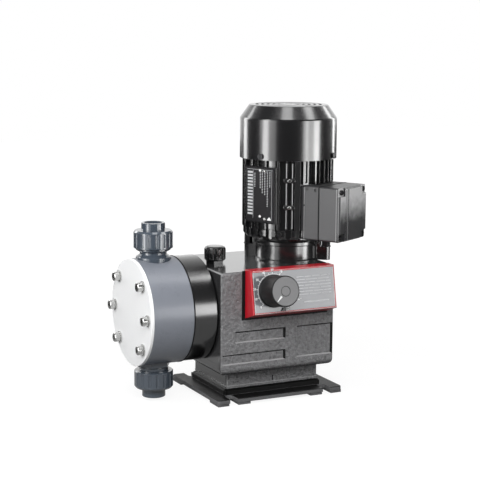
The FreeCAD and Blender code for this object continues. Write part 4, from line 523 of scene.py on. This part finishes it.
def dial_scale():
    low, high = PRINT
    long_mark = Mould().bar(-1.2, 1.2, -0.36, 0.36, low, high).data("long_mark")
    short_mark = Mould().bar(-0.7, 0.7, -0.22, 0.22, low, high).data("short_mark")
    parts = [spread("long_marks", long_mark, 11, radius=25.2, start=225, sweep=-270),
             spread("short_marks", short_mark, 10, radius=24.7, start=225 - 13.5, sweep=-243)]
    parts.append(Mould().arc(23.4, 24.0, -45, 225, low, high, 96).data("scale_line"))
    for stroke in range(0, 101, 10):
        turn = math.radians(dial_angle(stroke))
        parts.append(figure(str(stroke), FIGURE_R * math.cos(turn), FIGURE_R * math.sin(turn), FIGURE_HEIGHT))
    piece("dial_scale", joined("dial_scale", parts), DIAL, WHITE_INK_AND_HIGHLIGHT)


def dial_pointer():
    # A wedge on the knob's face, broad at its inner end
    turn = math.radians(dial_angle(0))
    along = Vector((math.cos(turn), math.sin(turn)))
    across = Vector((-along.y, along.x))
    outline = [along * 9.6 - across * 1.5, along * 18.9 - across * 0.5, along * 18.9 + across * 0.5,
               along * 9.6 + across * 1.5, along * 8.9]
    wedge = Mould().slab([tuple(p) for p in outline], KNOB_TOP - 0.05, KNOB_TOP + 0.08).data("dial_pointer")
    piece("dial_pointer", wedge, DIAL, WHITE_INK_AND_HIGHLIGHT, "dial")


def dial_lock():
    """The lock button and its index, below the knob."""
    button = Mould().turned([(3.1, 0.3), (3.1, 2.6), (2.7, 3.0), (0.6, 3.1)], 32, 18.6, -25.4)
    piece("lock_button", button.data("lock_button"), DIAL, WHITE_INK_AND_HIGHLIGHT, edge=0.1)
    slit = Mould().bar(17.1, 20.1, -25.7, -25.2, 3.0, 3.22)
    piece("lock_slit", slit.data("lock_slit"), DIAL, BLACK_INK_AND_SHADE)
    index = Mould().slab([(9.6, -28.0), (15.2, -28.0), (15.2, -25.4), (12.4, -23.4)], 0.3, 2.6)
    piece("lock_index", index.data("lock_index"), DIAL, BLACK_INK_AND_SHADE, edge=0.2)
    dot = Mould().disc(38.1, -14.3, 1.15, *PRINT).bar(39.8, 42.4, -13.4, -12.9, *PRINT)
    piece("plate_dot", dot.data("plate_dot"), DIAL, WHITE_INK_AND_HIGHLIGHT)
    # painted shade: a black ring in the groove of the knob's face
    ring = Mould().arc(6.25, 7.15, 0, 359, 36.3, 36.77, 96)
    piece("knob_groove_shade", ring.data("knob_groove_shade"), DIAL, BLACK_INK_AND_SHADE, "dial")


def plate_rules():
    """Bare ruled lines where a table stands, and a pale line round the plate's edge as a painted highlight.
    """
    low, high = PRINT
    rng = random.Random(4)
    rows = Mould()
    for row in range(7):
        y = 16.6 - row * 4.1
        x = 37.0
        while x < 88.0:
            length = rng.uniform(9.0, 19.0)
            rows.bar(x, min(x + length, 90.0), y - 0.42, y + 0.42, low, high)
            x += length + 1.3
    rows.bar(46.0, 86.0, -19.4, -17.9, low, high)
    piece("plate_rules", rows.data("plate_rules"), DIAL, PALE_INK)
    # painted highlight along the plate's edge, wider at the bottom and left
    edge = Mould()
    x0, x1, y0, y1 = -29.9, 95.0, -30.3, 28.9
    for bar in ((x0, x1, y0, y0 + 0.5), (x0, x1, y1 - 0.35, y1), (x0, x0 + 0.5, y0 + 0.5, y1 - 0.35),
                (x1 - 0.35, x1, y0 + 0.5, y1 - 0.35)):
        edge.bar(*bar, low, high)
    piece("plate_edge_highlight", edge.data("plate_edge_highlight"), DIAL, WHITE_INK_AND_HIGHLIGHT)


# The motor: rating plate and the saddles across its pair of ribs

RATING_PLATE = motor_plane(-156.5, 62.5, 285)
RIB_PAIR = motor_plane(-115.75, 63.8, 307)
SADDLE_PITCH = 38.0
RIB_FACE_R = 64.0


def rating_plate_lines():
    """Ruled boxes, ticks and a corner mark without words on the rating plate."""
    low, high = -0.02, 0.1
    cell = Mould().bar(-4.6, 4.6, -1.35, 1.35, low, high).data("cell")
    parts = [spread("rating_cells", cell, 14, step=(0.0, -4.55))]
    parts[0].transform(Matrix.Translation((-18.0, 31.5, 0)))
    tick = Mould().bar(-0.9, 0.9, -0.55, 0.55, low, high).data("tick")
    for x, y, count in ((-9.6, 30.0, 9), (0.5, 33.5, 11), (4.2, 33.5, 14), (8.6, 33.5, 15), (13.4, 33.5, 22),
                        (17.8, 33.5, 10)):
        column = spread("rating_ticks", tick, count, step=(0.0, -2.3))
        column.transform(Matrix.Translation((x, y, 0)))
        parts.append(column)
    lines = Mould()
    for x in (-12.6, 21.2):
        lines.bar(x - 0.2, x + 0.2, -34.0, 35.4, low, high)
    lines.bar(-23.4, 22.6, 35.6, 36.1, low, high)
    parts.append(lines.data("rating_lines"))
    piece("rating_plate_lines", joined("rating_plate_lines", parts), RATING_PLATE, PALE_INK)
    corner = [(14.0, -35.0), (20.5, -35.0), (20.5, -33.8), (17.2, -30.4), (14.0, -33.8)]
    mark = Mould().slab(corner, -0.1, 0.7).data("rating_plate_mark")
    piece("rating_plate_mark", mark, RATING_PLATE, WHITE_INK_AND_HIGHLIGHT, edge=0.1)


def rib_clips():
    """Two cast saddles over the pair of ribs, each with its screw."""
    saddle = Mould().slab([(-7.6, -2.4), (-5.0, -4.2), (-2.0, -2.9), (2.0, -2.9), (5.0, -4.2), (7.6, -2.4),
                           (7.6, 2.4), (5.0, 4.2), (2.0, 2.9), (-2.0, 2.9), (-5.0, 4.2), (-7.6, 2.4)],
                          -6.8, 0.6)
    for x in (-5.4, 5.4):
        saddle.turned([(3.4, -6.8), (3.4, 0.8), (2.6, 1.7), (1.0, 1.9)], 24, x, 0.0)
    both = spread("rib_saddles", saddle.data("saddle"), 2, step=(0.0, -SADDLE_PITCH))
    piece("rib_saddles", both, RIB_PAIR, FINISHES["gloss_black"], edge=0.5)
    screw = Mould().turned([(2.5, 0.4), (2.5, 2.0), (2.0, 2.4), (0.5, 2.5)], 24)
    screws = spread("rib_screws", screw.data("rib_screw"), 2, step=(0.0, -SADDLE_PITCH))
    piece("rib_screws", screws, RIB_PAIR, FINISHES["stainless"], edge=0.15)


# The terminal box: gasket in the seam, painted shade in the holes in its side and painted highlights on its
# edges

BOX_ANGLE = -60.1
BOX_PLACE = Matrix.Scale(MM, 4) @ Matrix.Translation((MOTOR_X, 0, 261.6)) @ Matrix.Rotation(
    math.radians(BOX_ANGLE), 4, "Z") @ Matrix(((0, 0, 1, 0), (1, 0, 0, 0), (0, 1, 0, 0), (0, 0, 0, 1)))


def rounded_square(half, corner):
    """A square outline with rounded corners, anticlockwise."""
    near = half - corner
    points = []
    for x, y, start in ((near, near, 0), (-near, near, 90), (-near, -near, 180), (near, -near, 270)):
        for i in range(7):
            turn = math.radians(start + 15 * i)
            points.append((x + corner * math.cos(turn), y + corner * math.sin(turn)))
    return points


def box_gasket():
    """A black ring that shows as a line between the box and its lid."""
    outer, inner = rounded_square(38.3, 2.6), rounded_square(36.1, 1.6)
    mould = Mould()
    rings = [[mould.mesh.verts.new((x, y, z)) for x, y in line]
             for line, z in ((inner, 74.5), (outer, 74.5), (outer, 76.2), (inner, 76.2))]
    for i in range(len(outer)):
        j = (i + 1) % len(outer)
        for k in range(4):
            a, b = rings[k], rings[(k + 1) % 4]
            mould.mesh.faces.new((a[i], b[i], b[j], a[j]))
    piece("box_gasket", mould.data("box_gasket"), BOX_PLACE, FINISHES["rubber_black"])


def box_details():
    """Black discs in the two holes in the box's side as painted shade, and pale strips as painted highlights
    on the edges of the lid's corner column.
    """
    side = BOX_PLACE @ Matrix(((0, 0, -1, -38.0), (0, 1, 0, 0), (1, 0, 0, 0), (0, 0, 0, 1)))
    # painted shade: black discs in the side's holes
    plugs = Mould().turned([(2.3, -0.4), (2.3, 0.2), (1.9, 0.3)], 24, 56.0, 34.2)
    plugs.turned([(1.3, -0.4), (1.3, 0.15), (0.9, 0.3)], 24, 51.5, 10.9)
    piece("box_hole_shades", plugs.data("box_hole_shades"), side, BLACK_INK_AND_SHADE)
    # painted highlights: pale strips along the edges
    lines = Mould().bar(103.2, 104.0, -36.5, 36.5, -0.4, 0.12).bar(107.0, 107.6, -36.5, 36.5, -0.4, 0.12)
    lines.bar(51.2, 51.9, -36.5, 36.5, -0.4, 0.12)
    piece("box_side_edges", lines.data("box_side_edges"), side, PAINTED_HIGHLIGHT)
    front = Mould().bar(-17.2, -16.5, -36.5, 36.5, 110.0, 110.3)
    piece("box_front_edge", front.data("box_front_edge"), BOX_PLACE, PAINTED_HIGHLIGHT)


def rivet_heads():
    """Domed heads over the rating plate's two rivets."""
    heads = Mould()
    for up in (34.7, -30.7):
        heads.turned([(1.9, -0.1), (1.8, 0.5), (1.3, 0.9), (0.5, 1.05)], 24, 0.0, up)
    piece("rivet_heads", heads.data("rivet_heads"), RATING_PLATE, WHITE_INK_AND_HIGHLIGHT)


HOUSING_LEFT, HOUSING_RIGHT, HOUSING_FRONT = -94.0, 83.4, -79.6
HOUSING_FACE = plane((0, HOUSING_FRONT, 0), (1, 0, 0), (0, 0, 1))
PLINTH_LEFT, PLINTH_FRONT = -73.5, -54.5
RECESSES = ((-72.5, 6.3, 88.0, 104.2), (-91.5, 6.5, 58.0, 72.5), (24.0, 82.0, 59.0, 104.2))
RECESS_DEPTH = 1.95


def sloped_sides(mould, x0, x1, z0, z1, widths, sides):
    """Sloping flanks inside a recess: each side falls from the face to the floor over its width."""
    left, right, low, high = widths
    outer = [(x0, z0), (x1, z0), (x1, z1), (x0, z1)]
    inner = [(x0 + left, z0 + low), (x1 - right, z0 + low), (x1 - right, z1 - high), (x0 + left, z1 - high)]
    for side in sides:
        i, j = ((0, 1), (1, 2), (2, 3), (3, 0))[side]
        a, b = ([mould.mesh.verts.new((*ring[k], depth)) for ring, depth in
                 ((outer, -RECESS_DEPTH), (outer, -0.05), (inner, -RECESS_DEPTH))] for k in (i, j))
        for k in range(3):
            m = (k + 1) % 3
            mould.mesh.faces.new((a[k], a[m], b[m], b[k]))
        mould.mesh.faces.new(a[::-1])
        mould.mesh.faces.new(b)


def recess_flanks():
    """The flanks of the three recesses: painted shade on the upper and right flanks, painted highlight on the
    lower and left ones.
    """
    widths = (1.3, 3.0, 1.6, 2.0)          # left, right, low and high
    # painted shade in black on the upper and right flanks, painted highlight in pale grey on the lower and
    # left ones
    for name, sides, finish in (("recess_flanks_upper", (1, 2), FINISHES["rubber_black"]),
                                ("recess_flanks_lower", (0, 3), PAINTED_HIGHLIGHT)):
        mould = Mould()
        for recess in RECESSES:
            sloped_sides(mould, *recess, widths, sides)
        piece(name, mould.data(name), HOUSING_FACE, finish)


FOOT_LOW, FOOT_TOP, FOOT_ROUND = 42.9, 57.9, 8.0


def housing_outline(inset):
    """The housing's outline in plan, set in by so many millimetres."""
    corner = max(1.0, 3.0 - inset)
    x0, x1 = HOUSING_LEFT + inset + corner, HOUSING_RIGHT - inset - corner
    y1 = -HOUSING_FRONT - inset - corner
    points = []
    for x, y, start in ((x1, y1, 0), (x0, y1, 90), (x0, -y1, 180), (x1, -y1, 270)):
        for i in range(6):
            turn = math.radians(start + 18 * i)
            points.append((x + corner * math.cos(turn), y + corner * math.sin(turn)))
    return points


def housing_foot():
    """The rounded lower edge of the housing, drawn down over its plinth."""
    profile = [(24.0, FOOT_TOP), (24.0, FOOT_LOW)]
    for i in range(9):
        turn = math.radians(11.25 * i)
        profile.append((FOOT_ROUND - (FOOT_ROUND + 0.1) * math.sin(turn),
                        FOOT_LOW + FOOT_ROUND * (1 - math.cos(turn))))
    profile.append((-0.1, FOOT_TOP))
    mould = Mould()
    rings = [[mould.mesh.verts.new((x, y, z)) for x, y in housing_outline(inset)] for inset, z in profile]
    for a, b in zip(rings, rings[1:] + rings[:1]):
        for i in range(len(a)):
            j = (i + 1) % len(a)
            mould.mesh.faces.new((a[i], a[j], b[j], b[i]))
    piece("housing_foot", mould.data("housing_foot"), Matrix.Scale(MM, 4), FINISHES["grey_casting"])


def panel_seat():
    """A black sheet behind the panel, painted shadow that shows at its left and below it."""
    low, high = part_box("panel_bezel")
    x0, x1, z0, z1 = low[0] / MM - 4.5, high[0] / MM - 0.5, low[2] / MM - 2.0, high[2] / MM - 2.0
    # painted shadow: a black sheet standing out past the bezel's left and lower edges
    seat = Mould().bar(x0, x1, z0, z1, -0.2, 1.6).data("panel_seat")
    piece("panel_seat", seat, HOUSING_FACE, FINISHES["rubber_black"], edge=0.5)


def head_seams():
    """The diaphragm's black rim between head and flange."""
    across = plane((-130.6, 0, 127.1), (0, 1, 0), (0, 0, 1))
    rim = Mould().arc(72.0, 75.35, 0, 359.5, -0.9, 0.9, 180)
    piece("diaphragm_rim", rim.data("diaphragm_rim"), across, FINISHES["rubber_black"])


def rib_edges():
    """Pale strips down the edges of the pair of ribs: painted highlights."""
    for name, angle, left in (("rib_edge_left", -119.0, -1.25), ("rib_edge_right", -112.5, 0.0)):
        strip = Mould().bar(left, left + 1.25, -46.0, 46.0, -0.5, 0.1)
        piece(name, strip.data(name), motor_plane(angle, RIB_FACE_R, 285), PAINTED_HIGHLIGHT)


def plinth_edges():
    """Pale lines along the foot of the plinth and up its front corner: painted highlights."""
    front = Mould().bar(-72.5, 71.0, 20.4, 21.4, -0.3, 0.2).bar(-72.4, -71.6, 22.0, 40.0, -0.3, 0.2)
    piece("plinth_edge_front", front.data("plinth_edge_front"),
          plane((0, PLINTH_FRONT, 0), (1, 0, 0), (0, 0, 1)), PAINTED_HIGHLIGHT)
    left = Mould().bar(-53.5, 53.5, 20.4, 21.4, -0.3, 0.2)
    piece("plinth_edge_left", left.data("plinth_edge_left"),
          plane((PLINTH_LEFT, 0, 0), (0, -1, 0), (0, 0, 1)), PAINTED_HIGHLIGHT)


def plinth_mark():
    """The small upright bar at the foot of the plinth's front."""
    mark = Mould().bar(-0.7, 0.7, 22.5, 29.8, -0.3, 0.45)
    piece("plinth_mark", mark.data("plinth_mark"), plane((-0.8, PLINTH_FRONT, 0), (1, 0, 0), (0, 0, 1)),
          BASE_FINISH, edge=0.3)


# The room: pale floor, soft studio light and the camera where the photograph was taken

WORLD_FILL = 0.14
FLOOR_NEAR, FLOOR_FAR = 0.35, 0.85          # where the floor goes from near to far, in metres
FLOOR_SHADE, FLOOR_MIRROR = 0.12, 0.24


def camera():
    data = bpy.data.cameras.new("camera")
    data.lens = 103.05
    data.sensor_width = 36.0
    data.clip_end = 20.0
    obj = bpy.data.objects.new("camera", data)
    bpy.context.scene.collection.objects.link(obj)
    right, up, back = (0.8994, -0.437, 0.0063), (0.0638, 0.1455, 0.9873), (-0.4324, -0.8876, 0.1588)
    turn = Matrix((right, up, back)).transposed().to_4x4()
    obj.matrix_world = Matrix.Translation((-0.87643, -1.74359, 0.52996)) @ turn
    bpy.context.scene.camera = obj


def softbox(name, azimuth, distance, low, high, width, radiance, tilt=0, gleam=True, fill=True):
    """A light panel at an azimuth, facing the object and tilted down, for gleams, for fill or for both."""
    data = bpy.data.lights.new(name, "AREA")
    data.shape = "RECTANGLE"
    data.size = width
    data.size_y = high - low
    data.energy = radiance * math.pi * width * (high - low)
    obj = bpy.data.objects.new(name, data)
    bpy.context.scene.collection.objects.link(obj)
    turn = math.radians(azimuth)
    obj.location = (distance * math.cos(turn), distance * math.sin(turn), (low + high) / 2)
    obj.rotation_euler = (math.radians(90 - tilt), 0, turn + math.radians(90))
    obj.visible_camera = False
    obj.visible_diffuse = fill
    obj.visible_glossy = gleam
    return obj


def pale_floor():
    """White where the camera looks, with the shadow kept near the object; dim far away in reflections."""
    f = Finish("floor_white", Roughness=0.9, Specular_IOR_Level=0.1)
    spot = f.node("ShaderNodeTexCoord", output="Object")
    away = f.node("ShaderNodeVectorMath", {0: spot}, output="Value", operation="LENGTH")
    near = f.fade(away, FLOOR_NEAR, FLOOR_FAR, 1, 0)
    f.set("Base Color", f.blend(near, rgb(0.06, 0.06, 0.06), rgb(0.14, 0.14, 0.14)))
    seen = f.node("ShaderNodeLightPath", output="Is Camera Ray")
    mirrored = f.node("ShaderNodeLightPath", output="Is Glossy Ray")
    lit = seen * (1.0 - near * FLOOR_SHADE) + mirrored * near * FLOOR_MIRROR
    f.set("Emission Color", f.node("ShaderNodeCombineColor", {0: lit, 1: lit, 2: lit}))
    f.set("Emission Strength", 1.0)
    return f.material


def white_world():
    """White to the camera, a white backdrop and a dark room in reflections, dim as a light."""
    world = bpy.data.worlds.new("room")
    bpy.context.scene.world = world
    world.use_nodes = True
    tree = world.node_tree
    tree.nodes.clear()

    def joined(kind, operation, *inputs):
        made = tree.nodes.new(kind)
        made.operation = operation
        for i, value in enumerate(inputs):
            if isinstance(value, bpy.types.NodeSocket):
                tree.links.new(value, made.inputs[i])
            else:
                made.inputs[i].default_value = value
        return made.outputs["Value"]

    path = tree.nodes.new("ShaderNodeLightPath")
    aim = tree.nodes.new("ShaderNodeTexCoord").outputs["Generated"]
    behind = joined("ShaderNodeVectorMath", "DOT_PRODUCT", aim, (0.438, 0.899, 0.0))
    dim = joined("ShaderNodeMath", "MAXIMUM", behind, 0.1)
    backdrop = joined("ShaderNodeMath", "SMOOTH_MIN", dim, 1.0, 0.2)
    mirrored = joined("ShaderNodeMath", "MULTIPLY", backdrop, path.outputs["Is Glossy Ray"])
    clear = joined("ShaderNodeMath", "MAXIMUM", path.outputs["Is Camera Ray"],
                   path.outputs["Is Transmission Ray"])
    strength = joined("ShaderNodeMath", "MAXIMUM", joined("ShaderNodeMath", "MAXIMUM", clear, mirrored),
                      joined("ShaderNodeMath", "MULTIPLY", path.outputs["Is Diffuse Ray"], WORLD_FILL))
    shade = tree.nodes.new("ShaderNodeBackground")
    tree.links.new(strength, shade.inputs["Strength"])
    shade.inputs["Color"].default_value = rgb(1, 1, 1)
    out = tree.nodes.new("ShaderNodeOutputWorld")
    tree.links.new(shade.outputs[0], out.inputs[0])


def room():
    bpy.context.scene.view_settings.view_transform = "Standard"
    white_world()
    bpy.ops.mesh.primitive_plane_add(size=8.0)
    floor = bpy.context.object
    floor.name = "floor"
    floor.data.materials.append(pale_floor())
    softbox("left_wide", 194.5, 0.95, 0.3, 1.0, 0.72, 1.8)
    softbox("left_core", 190, 0.92, 0.3, 1.0, 0.22, 5.5)
    softbox("left_low_wide", 194.5, 0.95, 0.01, 0.3, 0.72, 1.5, fill=False)
    softbox("left_low_core", 190, 0.92, 0.01, 0.3, 0.22, 5.5, fill=False)
    softbox("left_fill", 197, 0.94, 0.02, 0.6, 0.72, 1.4, gleam=False)
    softbox("right_soft", 285, 1.0, 0.01, 0.42, 0.2, 4.0, fill=False)
    softbox("right_wide", 303, 1.0, 0.01, 0.38, 0.62, 4.0, fill=False)
    softbox("right_core", 313, 0.96, 0.01, 0.38, 0.25, 5.0, fill=False)
    softbox("rear_left", 121, 0.95, 0.16, 1.0, 0.26, 4.0)
    softbox("rear_right", 13, 0.95, 0.16, 1.0, 0.16, 4.0)
    softbox("high_gleam", 243, 0.42, 1.0, 1.3, 0.3, 4.0, tilt=62, fill=False)
    softbox("high_right", 328, 0.43, 0.87, 1.12, 0.3, 5.0, tilt=62, fill=False)
    softbox("high_front", 250, 0.9, 0.5, 0.9, 0.7, 10.5, tilt=32, gleam=False)
    softbox("top_box", 240, 0.1, 1.6, 2.4, 1.2, 3.0, tilt=90)


camera()
dress_frame()
dial_scale()
dial_pointer()
dial_lock()
plate_rules()
rating_plate_lines()
rib_clips()
box_gasket()
box_details()
rivet_heads()
plinth_edges()
recess_flanks()
housing_foot()
panel_seat()
rib_edges()
head_seams()
plinth_mark()
room()
